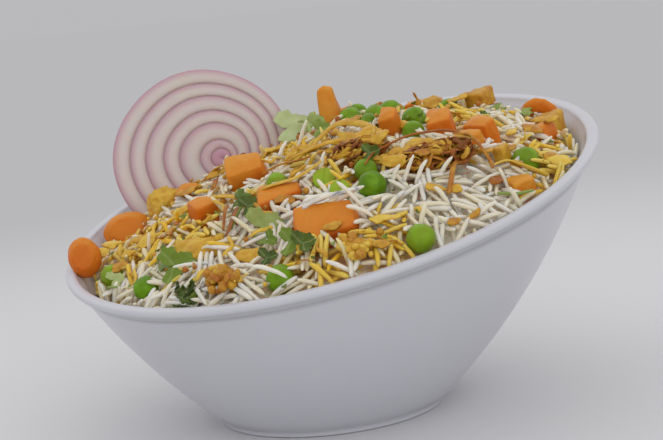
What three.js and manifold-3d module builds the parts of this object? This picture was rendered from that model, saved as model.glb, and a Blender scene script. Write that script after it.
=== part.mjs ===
// Vegetable biryani heaped in a white bowl with a slanted rim.
// Units are millimetres and +Z is up. The origin is the centre of the bowl's foot, on the table.
// The rim is low towards -Y and high towards +Y.

import * as THREE from "three";
import { mergeVertices } from "three/addons/utils/BufferGeometryUtils.js";
import Module from "manifold-3d";

const wasm = await Module();
wasm.setup();

const { degToRad, clamp, lerp } = THREE.MathUtils;

// ---- Driving dimensions ---------------------------------------------------------------------

// Bowl
const RIM_TILT = degToRad(13.7);
const RIM_CENTRE = new THREE.Vector3(0, 11, 75);
const FOOT_RADIUS = 39;
const FOOT_HEIGHT = 1.8;
const FOOT_CHAMFER = 0.6;
const FLARE_START = 38; // outer radius the wall's curve starts from
const FLARE_REACH = 95; // radius the curve would gain if it went on for ever
const FLARE_HEIGHT = 85; // height over which the curve bends over
const WALL_AT_FOOT = 5; // wall thickness, measured level
const WALL_AT_RIM = 2.8;
const FLOOR_HEIGHT = 6;
const FLOOR_FILLET = 5;
const BAND_HEIGHT = 3.2;
const BAND_PROUD = 1;
const LIP_ROUND = 0.9;
const BOWL_SEGMENTS = 44;
const WALL_STEPS = 5;

// Rice heap, in the plane of the rim
const HEAP_RADIUS = 89.5;
const CROWN_HEIGHT = 16;
const CROWN_X = 16;
const CROWN_Y = 11;
const SERVED_SIDE = degToRad(-49); // the side where the rice reaches the lip
const LEAST_DROP = 2;
const GREATEST_DROP = 13;
const HEAP_SEGMENTS = 36;
const HEAP_RINGS = 14;

// Toppings
const CLEARANCE = 0.4; // how far each topping's pocket in the rice stands off it
const PEA_DIAMETER = 8.8;
const COIN_SEGMENTS = 12;
const ONION_RADIUS = 33.5;
const ONION_THICKNESS = 5;
const ONION_RINGS = 5;
const ONION_SEGMENTS = 24;

// ---- Finishes -------------------------------------------------------------------------------

const finish = (color, roughness) => new THREE.MeshStandardMaterial({ color, roughness, metalness: 0 });

const FINISHES = {
  bowl: () => finish(0xe9e9ee, 0.15),
  rice: () => finish(0xf1ead8, 0.6),
  carrot: () => finish(0xe87a2c, 0.45),
  pea: () => finish(0x4f9a28, 0.4),
  onion: () => finish(0xd9bccb, 0.4),
  browned: () => finish(0x7a3f14, 0.55),
  golden: () => finish(0xc98a2b, 0.5),
  herb: () => finish(0x26401c, 0.6),
};

// ---- Helpers --------------------------------------------------------------------------------

// A small repeatable source of random numbers between 0 and 1.
function randomSource(seed) {
  let state = seed;
  return () => {
    state = (state * 1664525 + 1013904223) % 4294967296;
    return state / 4294967296;
  };
}

// Runs change(vertex) on every vertex of a geometry.
function reshape(geometry, change) {
  const position = geometry.attributes.position;
  const vertex = new THREE.Vector3();
  for (let i = 0; i < position.count; i += 1) {
    vertex.fromBufferAttribute(position, i);
    change(vertex);
    position.setXYZ(i, vertex.x, vertex.y, vertex.z);
  }
  return geometry;
}

// The same shape with one vertex per corner, as solids need.
function welded(geometry) {
  const bare = geometry.clone();
  bare.deleteAttribute("normal");
  bare.deleteAttribute("uv");
  return mergeVertices(bare, 1e-4);
}

// A plain block that holds a shape with room to spare all round.
function blockAround(geometry) {
  geometry.computeBoundingBox();
  const size = geometry.boundingBox.getSize(new THREE.Vector3()).addScalar(2 * CLEARANCE);
  const middle = geometry.boundingBox.getCenter(new THREE.Vector3());
  return new THREE.BoxGeometry(size.x, size.y, size.z).translate(middle.x, middle.y, middle.z);
}

// A twenty-sided ball that holds a round shape with room to spare all round.
function ballAround(diameter) {
  const faceShare = 0.795; // distance to a face over distance to a corner
  return new THREE.IcosahedronGeometry((diameter / 2 + CLEARANCE) / faceShare, 0);
}

// A plain disc that holds a flat round shape with room to spare all round.
function discAround(diameter, height, segments) {
  const radius = (diameter / 2 + CLEARANCE) / Math.cos(Math.PI / segments);
  const half = height / 2 + CLEARANCE;
  return revolved([[0, -half], [radius, -half], [radius, half], [0, half]], segments);
}

function toSolid(geometry) {
  const shape = welded(geometry);
  return new wasm.Manifold(
    new wasm.Mesh({
      numProp: 3,
      vertProperties: new Float32Array(shape.attributes.position.array),
      triVerts: new Uint32Array(shape.index.array),
    }),
  );
}

function toGeometry(solid) {
  const mesh = solid.getMesh();
  const geometry = new THREE.BufferGeometry();
  geometry.setAttribute("position", new THREE.BufferAttribute(new Float32Array(mesh.vertProperties), 3));
  geometry.setIndex(new THREE.BufferAttribute(new Uint32Array(mesh.triVerts), 1));
  geometry.computeVertexNormals();
  return geometry;
}

// A solid of revolution about +Z from [radius, height] pairs that start and end on the axis.
function revolved(profile, segments) {
  const points = profile.map(([radius, height]) => new THREE.Vector2(radius, height));
  return new THREE.LatheGeometry(points, segments).rotateX(Math.PI / 2);
}

// A strip of oval section swept along a curve.
function swept(points, width, thickness, sides, steps) {
  const section = new THREE.Shape();
  for (let i = 0; i < sides; i += 1) {
    const angle = (2 * Math.PI * (i + 0.5)) / sides;
    const x = (thickness / 2) * Math.cos(angle);
    const y = (width / 2) * Math.sin(angle);
    if (i === 0) section.moveTo(x, y);
    else section.lineTo(x, y);
  }
  section.closePath();
  const path = new THREE.CatmullRomCurve3(points.map((point) => new THREE.Vector3(...point)));
  return new THREE.ExtrudeGeometry(section, { steps, extrudePath: path, curveSegments: 1 });
}

// ---- Bowl -----------------------------------------------------------------------------------

// Outer radius of the wall at a height above the table.
const flare = (height) => FLARE_START + FLARE_REACH * (1 - Math.exp(-height / FLARE_HEIGHT));

// Thickness of the wall, measured level, at a height above the table.
const wall = (height) => lerp(WALL_AT_FOOT, WALL_AT_RIM, height / RIM_CENTRE.z);

// Height of the rim's plane at a distance along Y.
const rimHeight = (y) => RIM_CENTRE.z + Math.tan(RIM_TILT) * (y - RIM_CENTRE.y);

// Turns a level bowl into a slanted one. The wall keeps one profile all round and is cut
// off by the rim's plane, so it climbs higher on the +Y side. The foot and floor stay level.
function slanted(geometry) {
  const top = RIM_CENTRE.z;
  const risingFrom = FLOOR_HEIGHT;
  const risingTo = top - BAND_HEIGHT;
  return reshape(geometry, (vertex) => {
    const level = vertex.z;
    const radius = Math.hypot(vertex.x, vertex.y);
    const angle = Math.atan2(vertex.y, vertex.x);
    const share = clamp((level - risingFrom) / (risingTo - risingFrom), 0, 1);
    const settlingSteps = 12;
    for (let i = 0; i < settlingSteps; i += 1) {
      vertex.z = level + share * (rimHeight(vertex.y) - top);
      const moved = radius + (radius > 0 ? flare(vertex.z) - flare(level) : 0);
      vertex.x = moved * Math.cos(angle);
      vertex.y = moved * Math.sin(angle);
    }
  });
}

// The hollow's outline, drawn in from the wall by a gap and running up past the rim.
function hollowProfile(gap, ceiling) {
  const inner = (height) => flare(height) - wall(height) - gap;
  const filletTop = FLOOR_HEIGHT + FLOOR_FILLET;
  const lipFoot = RIM_CENTRE.z - LIP_ROUND;
  const profile = [
    [0, FLOOR_HEIGHT + gap],
    [inner(FLOOR_HEIGHT) - FLOOR_FILLET, FLOOR_HEIGHT + gap],
    [inner(filletTop) - FLOOR_FILLET / 3, FLOOR_HEIGHT + gap + FLOOR_FILLET / 3],
  ];
  for (let i = 0; i <= WALL_STEPS; i += 1) {
    const height = lerp(filletTop, lipFoot, i / WALL_STEPS);
    profile.push([inner(height), height]);
  }
  profile.push([inner(lipFoot), ceiling]);
  return profile;
}

function bowlGeometry() {
  const top = RIM_CENTRE.z;
  const bandFoot = top - BAND_HEIGHT;
  const outside = [
    [0, 0],
    [FOOT_RADIUS - FOOT_CHAMFER, 0],
    [FOOT_RADIUS, FOOT_CHAMFER],
    [FOOT_RADIUS, FOOT_HEIGHT],
  ];
  for (let i = 0; i <= WALL_STEPS; i += 1) {
    const height = lerp(FOOT_HEIGHT + BAND_PROUD, bandFoot, i / WALL_STEPS);
    outside.push([flare(height), height]);
  }
  outside.push([flare(bandFoot) + BAND_PROUD, bandFoot + BAND_PROUD / 2]);
  outside.push([flare(top) + BAND_PROUD, top - LIP_ROUND]);
  outside.push([flare(top) + BAND_PROUD - LIP_ROUND, top]);
  outside.push([flare(top) - wall(top) + LIP_ROUND, top]);
  const inside = hollowProfile(0, top).slice(0, -1).reverse();
  return slanted(revolved([...outside, ...inside], BOWL_SEGMENTS));
}

// ---- Rice heap ------------------------------------------------------------------------------

// How far below the lip the rice meets the wall, by direction in the rim's plane.
function edgeDrop(angle) {
  const away = 0.5 - 0.5 * Math.cos(angle - SERVED_SIDE);
  return LEAST_DROP + (GREATEST_DROP - LEAST_DROP) * away ** 0.7;
}

// The soft lumps and hollows of spooned rice.
function ripple(x, y) {
  const broad = Math.sin(x / 9 + 1.3) * Math.cos(y / 11 - 0.4) + Math.sin((x + y) / 14);
  const fine = Math.sin(x / 2.7 + y / 6.1) * Math.cos(y / 3.1 - x / 7.3);
  return 0.8 * broad + 0.7 * fine;
}

// Height of the heap over the rim's plane.
function heapHeight(x, y) {
  const dx = x - CROWN_X;
  const dy = y - CROWN_Y;
  const distance = Math.max(Math.hypot(dx, dy), 1e-6);
  const along = (CROWN_X * dx + CROWN_Y * dy) / distance;
  const crownOffset = CROWN_X ** 2 + CROWN_Y ** 2;
  const reach = Math.sqrt(along ** 2 + HEAP_RADIUS ** 2 - crownOffset) - along;
  const share = clamp(distance / reach, 0, 1);
  const drop = edgeDrop(Math.atan2(y, x));
  return (CROWN_HEIGHT + drop) * (1 - share ** 2) - drop + ripple(x, y);
}

// The heap's bumpy top over a plain underside, in the plane of the rim.
function heapGeometry() {
  const overhang = 6;
  const depth = 110;
  const profile = [[0, -depth], [HEAP_RADIUS + overhang, -depth]];
  for (let i = 0; i <= HEAP_RINGS; i += 1) {
    profile.push([(HEAP_RADIUS + overhang) * (1 - i / HEAP_RINGS), 0]);
  }
  return reshape(revolved(profile, HEAP_SEGMENTS), (vertex) => {
    if (vertex.z > -depth / 2) vertex.z = heapHeight(vertex.x, vertex.y);
  });
}

// ---- Toppings -------------------------------------------------------------------------------

const random = randomSource(7);

// A pea is nearly round, with one side a little flattened.
function peaGeometry(diameter) {
  const squash = 0.9 + 0.1 * random();
  const flat = 0.78 * (diameter / 2);
  const geometry = new THREE.IcosahedronGeometry(diameter / 2, 1);
  return reshape(geometry, (vertex) => {
    vertex.y *= squash;
    if (vertex.z < -flat) vertex.z = -flat - 0.3 * (-flat - vertex.z);
  });
}

// A cooked dice of carrot: a block with soft edges, narrower towards its +X end.
function diceGeometry(length, width, height, taper = 0.12 + 0.2 * random()) {
  const geometry = new THREE.BoxGeometry(2, 2, 2, 2, 2, 2);
  const skew = 0.3 * (random() - 0.5);
  const softness = 0.3;
  return reshape(geometry, (vertex) => {
    const reach = vertex.length();
    const roundness = 1 + softness * (Math.sqrt(2) / Math.max(reach, 1) - 1);
    vertex.multiplyScalar(roundness);
    vertex.y *= 1 - taper * vertex.x;
    vertex.x += skew * vertex.y;
    vertex.multiply(new THREE.Vector3(length / 2, width / 2, height / 2));
  });
}

// A thick coin of carrot with rounded edges.
function coinGeometry(diameter, height) {
  const radius = diameter / 2;
  const edge = 0.3 * height;
  const profile = [
    [0, -height / 2],
    [radius - edge, -height / 2],
    [radius, -height / 2 + edge],
    [radius, height / 2 - edge],
    [radius - edge, height / 2],
    [0, height / 2],
  ];
  return revolved(profile, COIN_SEGMENTS);
}

// A half ring of carrot standing on its two ends.
function archGeometry(span, thickness) {
  const radius = (span - thickness) / 2;
  const points = [];
  const bends = 5;
  for (let i = 0; i < bends; i += 1) {
    const angle = Math.PI * (0.05 + (0.9 * i) / (bends - 1));
    points.push([radius * Math.cos(angle), 0, radius * Math.sin(angle)]);
  }
  return swept(points, thickness * 1.4, thickness, 6, 6);
}

// A slice through an onion: rings that stand a little proud of the grooves between them.
function onionGeometry() {
  const half = ONION_THICKNESS / 2;
  const groove = 0.7;
  const face = [];
  for (let ring = 0; ring < ONION_RINGS; ring += 1) {
    const inner = ((ring + 0.1) / ONION_RINGS) * ONION_RADIUS;
    const middle = ((ring + 0.5) / ONION_RINGS) * ONION_RADIUS;
    face.push([inner, half - groove], [middle, half]);
  }
  face[0][0] = 0;
  const skin = [[ONION_RADIUS - 1, half - 0.4], [ONION_RADIUS, 0]];
  const front = [...face, ...skin];
  const back = front.slice(0, -1).map(([radius, height]) => [radius, -height]);
  const outOfRound = 0.96;
  return revolved([...back, ...front.reverse()], ONION_SEGMENTS).scale(1, outOfRound, 1);
}

// A tangle of fried onion shreds, or a crumbly floret: an uneven mound that lies along X.
// The lumps say how many swells run along it, and their depth is a share of its height.
function tangleGeometry(length, width, height, lumps, depth) {
  const phase = 6 * random();
  return reshape(new THREE.IcosahedronGeometry(1, 2), (vertex) => {
    const swell = Math.sin(lumps * vertex.x + phase) * Math.cos(lumps * 1.3 * vertex.y - phase);
    const crease = Math.sin(2.1 * lumps * (vertex.x + 0.4 * vertex.y) + 2 * phase);
    vertex.multiplyScalar(1 + depth * (0.65 * swell + 0.35 * crease));
    vertex.multiply(new THREE.Vector3(length / 2, width / 2, height / 2));
  });
}

// A single petal of fried onion, cupped across and curved along its length.
function petalGeometry(length, width, thickness) {
  const geometry = new THREE.BoxGeometry(length, width, thickness, 5, 2, 1);
  const droop = 0.16;
  const cup = 0.3;
  return reshape(geometry, (vertex) => {
    const along = vertex.x / (length / 2);
    const across = vertex.y / (width / 2);
    vertex.y *= 1 - 0.55 * along ** 2;
    vertex.z -= droop * length * along ** 2 * 0.6 + cup * (width / 2) * across ** 2 * 0.6;
  });
}

// ---- Laying the table -----------------------------------------------------------------------

const dish = new THREE.Group();
const onRim = new THREE.Group(); // everything in here is placed in the plane of the rim
onRim.position.copy(RIM_CENTRE);
onRim.rotation.x = RIM_TILT;
dish.add(onRim);

function named(name, geometry, material) {
  const mesh = new THREE.Mesh(geometry, material);
  mesh.name = name;
  return mesh;
}

// Sets a topping on the heap at x and y, raised by lift, leant and then turned, in degrees.
// The pocket is the room that the rice leaves for it.
function settle(name, geometry, material, { x, y, lift, turn = 0, lean = 0, pocket }) {
  const mesh = named(name, geometry, material);
  mesh.userData.pocket = pocket ?? blockAround(geometry);
  mesh.position.set(x, y, heapHeight(x, y) + lift);
  mesh.rotation.set(degToRad(lean), 0, degToRad(turn), "ZYX");
  onRim.add(mesh);
}

const numbered = (stem, index) => `${stem}_${String(index + 1).padStart(2, "0")}`;

// Peas: where each one lies, and its size against the usual one.
const PEAS = [
  [-15, -80, 0.95], [-43, -69, 0.9], [38, -73, 1.05], [-4, 25, 1], [-10, 36, 0.9], [8, 25, 0.9],
  [12, 16, 0.8], [4, 38, 0.95], [26, 23, 0.95], [34, 11, 0.85], [22, 49, 0.95], [45, -29, 1.05],
  [37, -21, 0.9], [24, -27, 0.9], [34, -32, 0.75], [2, -26, 0.85], [72, -45, 1], [74, 14, 1.05],
  [-44, 42, 1], [-14, 66, 0.95], [-58, 47, 0.9], [-30, 62, 1],
];

PEAS.forEach(([x, y, size], index) => {
  const diameter = PEA_DIAMETER * size;
  const geometry = peaGeometry(diameter);
  const place = { x, y, lift: diameter * 0.22, turn: 360 * random(), lean: 40 * random() };
  settle(numbered("pea", index), geometry, FINISHES.pea(), { ...place, pocket: ballAround(diameter) });
});

// Diced carrot: where each piece lies, its length, width and height, and how it is turned.
const DICE = [
  { x: 41, y: -50, size: [19, 13, 7], lift: 3, turn: 36, lean: 32 },
  { x: 21, y: 9, size: [8, 8, 10], lift: 2.5, turn: 20, lean: 20 },
  { x: 42, y: 20, size: [11, 10, 10], lift: 3, turn: 25, lean: 15 },
  { x: 57, y: 25, size: [12, 8, 10], lift: 3, turn: -10, lean: 10 },
  { x: 55, y: 12, size: [9, 6, 7], lift: 1.5, turn: 20, lean: 10 },
  { x: -17, y: -20, size: [13, 10, 10], lift: 3, turn: 35, lean: 25 },
  { x: 12, y: -37, size: [14, 8, 6], lift: 1, turn: 40, lean: 20 },
  { x: -15, y: -46, size: [8, 7, 8], lift: 1.5, turn: 60, lean: 15 },
  { x: -45, y: -22, size: [8, 6, 7], lift: 2, turn: 15, lean: 20 },
  { x: 80, y: 0, size: [8, 6, 6], lift: 1, turn: 50, lean: 10 },
  { x: -30, y: 50, size: [12, 10, 9], lift: 2.5, turn: 70, lean: -15 },
  { x: 2, y: 58, size: [10, 9, 8], lift: 2, turn: 10, lean: -10 },
  { x: -64, y: 34, size: [11, 9, 8], lift: 2, turn: 120, lean: 0 },
  { x: 62, y: 44, size: [9, 8, 7], lift: 1.5, turn: 80, lean: -12 },
];

DICE.forEach(({ size, ...place }, index) => {
  settle(numbered("carrot", index), diceGeometry(...size), FINISHES.carrot(), place);
});

const COINS = [
  { x: -54, y: -64, diameter: 13.5, height: 8, lift: 6, turn: 43, lean: 68 },
  { x: -70, y: -33, diameter: 15, height: 8, lift: 3.5, turn: 43, lean: 62 },
];

COINS.forEach(({ diameter, height, ...place }, index) => {
  const pocket = discAround(diameter, height, COIN_SEGMENTS);
  const geometry = coinGeometry(diameter, height);
  settle(numbered("carrot_coin", index), geometry, FINISHES.carrot(), { ...place, pocket });
});

settle("carrot_arch", archGeometry(13, 3.4), FINISHES.carrot(), { x: 39, y: 69, lift: 1, turn: 25 });

// A wedge of carrot standing on its broad end.
const wedge = diceGeometry(16, 8, 7, 0.6).rotateY(-Math.PI / 2);
settle("carrot_wedge", wedge, FINISHES.carrot(), { x: -15, y: 27, lift: 5, turn: 30, lean: -8 });

const onionPocket = discAround(2 * ONION_RADIUS, ONION_THICKNESS, ONION_SEGMENTS);
const onionPlace = { x: -60, y: 3, lift: 9.5, turn: 43, lean: 78, pocket: onionPocket };
settle("onion_slice", onionGeometry(), FINISHES.onion(), onionPlace);

const BUNDLES = [
  { x: 54, y: -7, size: [32, 13, 9, 4, 0.16], lift: 3.5, turn: 40, material: FINISHES.browned() },
  { x: 28, y: -11, size: [22, 11, 8, 3, 0.16], lift: 3, turn: 40, material: FINISHES.browned() },
  { x: -8, y: 49, size: [16, 9, 7, 3, 0.14], lift: 2, turn: 100, material: FINISHES.golden() },
];

BUNDLES.forEach(({ size, material, ...place }, index) => {
  settle(numbered("fried_onion_bundle", index), tangleGeometry(...size), material, place);
});

const STRIP = [[-16, 0, -1.5], [-8, 0.8, 1.4], [0, 0, 2], [8, -0.6, 1.2], [16, 0.5, -1]];
const stripPlace = { x: -3, y: -35, lift: 5.4, turn: 22 };
settle("fried_onion_strip", swept(STRIP, 4, 1.6, 6, 10), FINISHES.golden(), stripPlace);

const PETALS = [
  { x: -1, y: -65, size: [20, 11, 1.4], lift: 3, turn: 35, lean: 15 },
  { x: 20, y: -66, size: [12, 9, 1.4], lift: 2.5, turn: 20, lean: 12 },
  { x: 12, y: 49, size: [10, 5, 1.4], lift: 3.5, turn: 30, lean: 10 },
];

PETALS.forEach(({ size, ...place }, index) => {
  settle(numbered("fried_onion_petal", index), petalGeometry(...size), FINISHES.golden(), place);
});

const CLUSTERS = [
  { name: "golden_floret", x: 24, y: -78, size: [15, 9, 9, 5, 0.12], lift: 2, turn: 15, finish: "golden" },
  { name: "dark_floret", x: 9, y: -81.5, size: [10, 6, 6, 5, 0.14], lift: 1.5, turn: 5, finish: "herb" },
  { name: "golden_lump", x: -60, y: -21, size: [12, 11, 11, 3, 0.08], lift: 3, turn: 30, finish: "golden" },
];

CLUSTERS.forEach(({ name, size, finish: slot, ...place }) => {
  settle(name, tangleGeometry(...size), FINISHES[slot](), place);
});

const GOLDEN_BITS = [
  { x: 29, y: 56, size: [7, 6, 5], lift: 3, turn: 20, lean: 15 },
  { x: 57, y: 57, size: [7, 6, 8], lift: 1.5, turn: 40, lean: 20 },
  { x: 67, y: 8, size: [5, 5, 7], lift: 2, turn: 10, lean: 15 },
];

GOLDEN_BITS.forEach(({ size, ...place }, index) => {
  settle(numbered("golden_bit", index), diceGeometry(...size), FINISHES.golden(), place);
});

// The rice fills the bowl's hollow up to the heap and gives way to every topping.
function riceGeometry() {
  const gap = 0.4;
  const ceiling = RIM_CENTRE.z + 60;
  const hollow = toSolid(slanted(revolved([...hollowProfile(gap, ceiling), [0, ceiling]], BOWL_SEGMENTS)));
  const heap = toSolid(heapGeometry().applyMatrix4(onRim.matrixWorld));
  let rice = hollow.intersect(heap);
  onRim.children.forEach((topping) => {
    const pocket = topping.userData.pocket.applyMatrix4(topping.matrixWorld);
    rice = rice.subtract(toSolid(pocket));
  });
  return toGeometry(rice);
}

dish.updateMatrixWorld(true);
dish.add(named("bowl", bowlGeometry(), FINISHES.bowl()));
dish.add(named("rice", riceGeometry(), FINISHES.rice()));
dish.updateMatrixWorld(true);

export default dish;
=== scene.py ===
"""Vegetable biryani heaped in a white bowl with a slanted rim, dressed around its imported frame."""

import math
import random

import bmesh
import bpy
import numpy as np
from bpy.props import (
    FloatProperty,
    FloatVectorProperty,
    IntProperty,
    PointerProperty,
)
from mathutils import Matrix, Vector, noise


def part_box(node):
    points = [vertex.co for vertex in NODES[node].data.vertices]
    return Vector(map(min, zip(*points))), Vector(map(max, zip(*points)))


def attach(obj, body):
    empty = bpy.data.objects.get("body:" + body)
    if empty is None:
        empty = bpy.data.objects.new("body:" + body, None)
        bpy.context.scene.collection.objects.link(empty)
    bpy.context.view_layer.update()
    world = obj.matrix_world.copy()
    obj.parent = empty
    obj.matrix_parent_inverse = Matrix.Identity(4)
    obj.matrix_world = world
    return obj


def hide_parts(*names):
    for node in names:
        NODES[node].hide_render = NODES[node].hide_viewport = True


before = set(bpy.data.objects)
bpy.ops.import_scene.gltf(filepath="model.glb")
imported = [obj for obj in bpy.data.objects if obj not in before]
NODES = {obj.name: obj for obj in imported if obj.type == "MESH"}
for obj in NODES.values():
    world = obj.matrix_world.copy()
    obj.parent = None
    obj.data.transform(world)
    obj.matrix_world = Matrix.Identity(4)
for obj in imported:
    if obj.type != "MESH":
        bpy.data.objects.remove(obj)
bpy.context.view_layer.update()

bl_info = {
    "name": "Biryani Bowl",
    "version": (1, 0, 0),
    "blender": (4, 5, 0),
    "location": "3D View > Sidebar > Biryani",
    "description": "Builds a bowl of vegetable biryani grain by grain around its packed frame",
    "category": "Object",
}

MM = 0.001
UP = Vector((0, 0, 1))


# ---- Sizes and colours that a maker would change --------------------------------------------


def length(name, description, default):
    return FloatProperty(name=name, description=description, default=default, unit="LENGTH", precision=5)


def degrees(name, description, default):
    return FloatProperty(
        name=name, description=description, default=math.radians(default), subtype="ANGLE"
    )


def number(name, description, default):
    return FloatProperty(name=name, description=description, default=default)


def colour(name, description, default):
    return FloatVectorProperty(
        name=name, description=description, default=default, subtype="COLOR", size=3, min=0, max=1
    )


def count(name, description, default):
    return IntProperty(name=name, description=description, default=default, min=0)


class BowlSettings(bpy.types.PropertyGroup):
    """The bowl's sizes, which are those of the frame."""

    tilt: degrees("Rim tilt", "Lean of the rim", 13.7)
    rim_y: length("Rim centre Y", "How far the rim's centre stands behind the foot's", 0.011)
    rim_z: length("Rim centre Z", "Height of the rim's centre", 0.075)
    foot_radius: length("Foot radius", "Radius of the foot", 0.039)
    foot_height: length("Foot height", "Height of the foot", 0.0018)
    flare_start: length("Flare start", "Outer radius that the wall's curve starts from", 0.038)
    flare_reach: length("Flare reach", "Radius the wall's curve would gain in the end", 0.095)
    flare_height: length("Flare height", "Height over which the wall's curve bends over", 0.085)
    wall_at_foot: length("Wall at foot", "Level thickness of the wall at the foot", 0.005)
    wall_at_rim: length("Wall at rim", "Level thickness of the wall at the rim", 0.0028)
    floor_height: length("Floor height", "Height of the inside floor", 0.006)
    band_height: length("Band height", "Height of the lip and the band under it", 0.0044)
    band_proud: length("Band proud", "How far the band stands off the wall", 0.001)
    glaze: colour("Glaze", "Colour of the glaze", (0.615, 0.615, 0.66))


class HeapSettings(bpy.types.PropertyGroup):
    """The heap's outline and how the grains lie in it."""

    radius: length("Radius", "Radius of the heap in the rim's plane", 0.0895)
    crown_height: length("Crown height", "Height of the crown over the rim's plane", 0.016)
    crown_x: length("Crown X", "Where the crown stands across the rim", 0.016)
    crown_y: length("Crown Y", "Where the crown stands along the rim", 0.011)
    served_side: degrees("Served side", "Direction in which the rice reaches the lip", -49)
    least_drop: length("Least drop", "How far under the lip the rice stops on the served side", 0.0012)
    greatest_drop: length("Greatest drop", "How far under the lip it stops opposite", 0.013)
    core_depth: length("Core depth", "How far the core lies under the heap's outline", 0.0030)
    over: length("Over", "How far over the heap's outline the grains may lie", 0.0016)
    grain_length: length("Grain length", "Usual length of a grain", 0.0120)
    grain_width: length("Grain width", "Usual width of a grain", 0.00168)
    white_grains: count("White grains", "The most white grains that are laid", 2700)
    saffron_share: number("Saffron share", "Share of coloured grains inside a saffron patch", 0.74)
    white: colour("White rice", "Colour of a plain grain", (0.86, 0.80, 0.71))
    saffron: colour("Saffron rice", "Colour of a saffron grain", (0.86, 0.50, 0.032))


class ToppingSettings(bpy.types.PropertyGroup):
    """The toppings' colours."""

    pea: colour("Pea", "Colour of a cooked pea", (0.17, 0.36, 0.006))
    carrot: colour("Carrot", "Colour of cooked carrot", (0.70, 0.155, 0.012))
    onion_flesh: colour("Onion flesh", "Colour of raw onion flesh", (0.735, 0.695, 0.655))
    onion_skin: colour("Onion skin", "Colour of the skin between the rings", (0.54, 0.31, 0.38))
    browned: colour("Browned", "Colour of well browned onion", (0.42, 0.13, 0.016))
    golden: colour("Golden", "Colour of lightly fried onion", (0.66, 0.37, 0.03))
    leaf: colour("Leaf", "Colour of a fresh coriander leaf", (0.17, 0.26, 0.02))


class StageSettings(bpy.types.PropertyGroup):
    """The floor, the light and the camera."""

    # The near floor colour carries a painted pool of light; the far floor is the room's tone.
    floor: colour("Floor", "Colour of the floor", (0.74, 0.74, 0.745))
    far_floor: colour("Far floor", "Colour of the floor where it meets the room", (0.575, 0.575, 0.580))
    air: colour("Air", "Colour of the room's soft light", (0.84, 0.84, 0.87))
    focal_length: number("Focal length", "Of the camera, in millimetres", 86.9)
    azimuth: degrees("Azimuth", "Camera's turn round the bowl", 40.9)
    elevation: degrees("Elevation", "Camera's height as an angle", 7.76)
    roll: degrees("Roll", "How far the camera is tipped", 6.47)
    distance: length("Distance", "From the camera to what it looks at", 0.5519)


class BiryaniSettings(bpy.types.PropertyGroup):
    """Everything a maker would change."""

    bowl: PointerProperty(type=BowlSettings)
    heap: PointerProperty(type=HeapSettings)
    topping: PointerProperty(type=ToppingSettings)
    stage: PointerProperty(type=StageSettings)


# ---- The bowl's and the heap's forms --------------------------------------------------------


def held(value, low=0.0, high=1.0):
    """A value kept between two bounds."""
    return min(max(value, low), high)


def bell(x, y, middle_x, middle_y, wide):
    """1 at a middle given in millimetres, and less the farther a place is from it."""
    return math.exp(-((x / MM - middle_x) ** 2 + (y / MM - middle_y) ** 2) / (2 * wide**2))


class BowlForm:
    """The outline of the slanted bowl, in metres."""

    def __init__(self, sizes):
        self.sizes = sizes
        self.top = sizes.rim_z
        self.rim = Matrix.Translation((0, sizes.rim_y, sizes.rim_z)) @ Matrix.Rotation(sizes.tilt, 4, "X")

    def flare(self, height):
        """Outer radius of the wall at a height."""
        sizes = self.sizes
        return sizes.flare_start + sizes.flare_reach * (1 - math.exp(-height / sizes.flare_height))

    def wall(self, height):
        """Level thickness of the wall at a height."""
        share = height / self.top
        return self.sizes.wall_at_foot + share * (self.sizes.wall_at_rim - self.sizes.wall_at_foot)

    def room_to_wall(self, place):
        """How far a place given by the rim's plane stands inside the wall, measured level."""
        sizes = self.sizes
        point = self.rim @ place
        rise = math.tan(sizes.tilt) * (point.y - sizes.rim_y)
        span = self.top - sizes.band_height - sizes.floor_height
        level = (point.z + sizes.floor_height * rise / span) / (1 + rise / span)
        return self.flare(point.z) - self.wall(min(level, self.top)) - math.hypot(point.x, point.y)

    def pulled_in(self, place, room):
        """The same place, moved toward the middle until it has some room to the wall."""
        moved = place.copy()
        for _ in range(6):
            short = room - self.room_to_wall(moved)
            if short > 0:
                keep_share = 1 - short / math.hypot(moved.x, moved.y)
                moved.x *= keep_share
                moved.y *= keep_share
        return moved

    def slanted(self, point):
        """Where a point of the level bowl goes when the rim is cut off at a slant."""
        sizes = self.sizes
        share = (point.z - sizes.floor_height) / (self.top - sizes.band_height - sizes.floor_height)
        share = held(share)
        radius = math.hypot(point.x, point.y)
        angle = math.atan2(point.y, point.x)
        moved = point.copy()
        for _ in range(12):
            moved.z = point.z + share * math.tan(sizes.tilt) * (moved.y - sizes.rim_y)
            reach = radius + (self.flare(moved.z) - self.flare(point.z) if radius > 0 else 0)
            moved.x = reach * math.cos(angle)
            moved.y = reach * math.sin(angle)
        return moved


# Place in the rim's plane, width and rise, all in millimetres.
MOUNDS = [(45, -60, 7, 2.4), (36, -55, 5, 1.5), (62, -20, 9, 1.6), (-66, -58, 9, 2.0), (-12, -56, 8, 1.0)]


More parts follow.
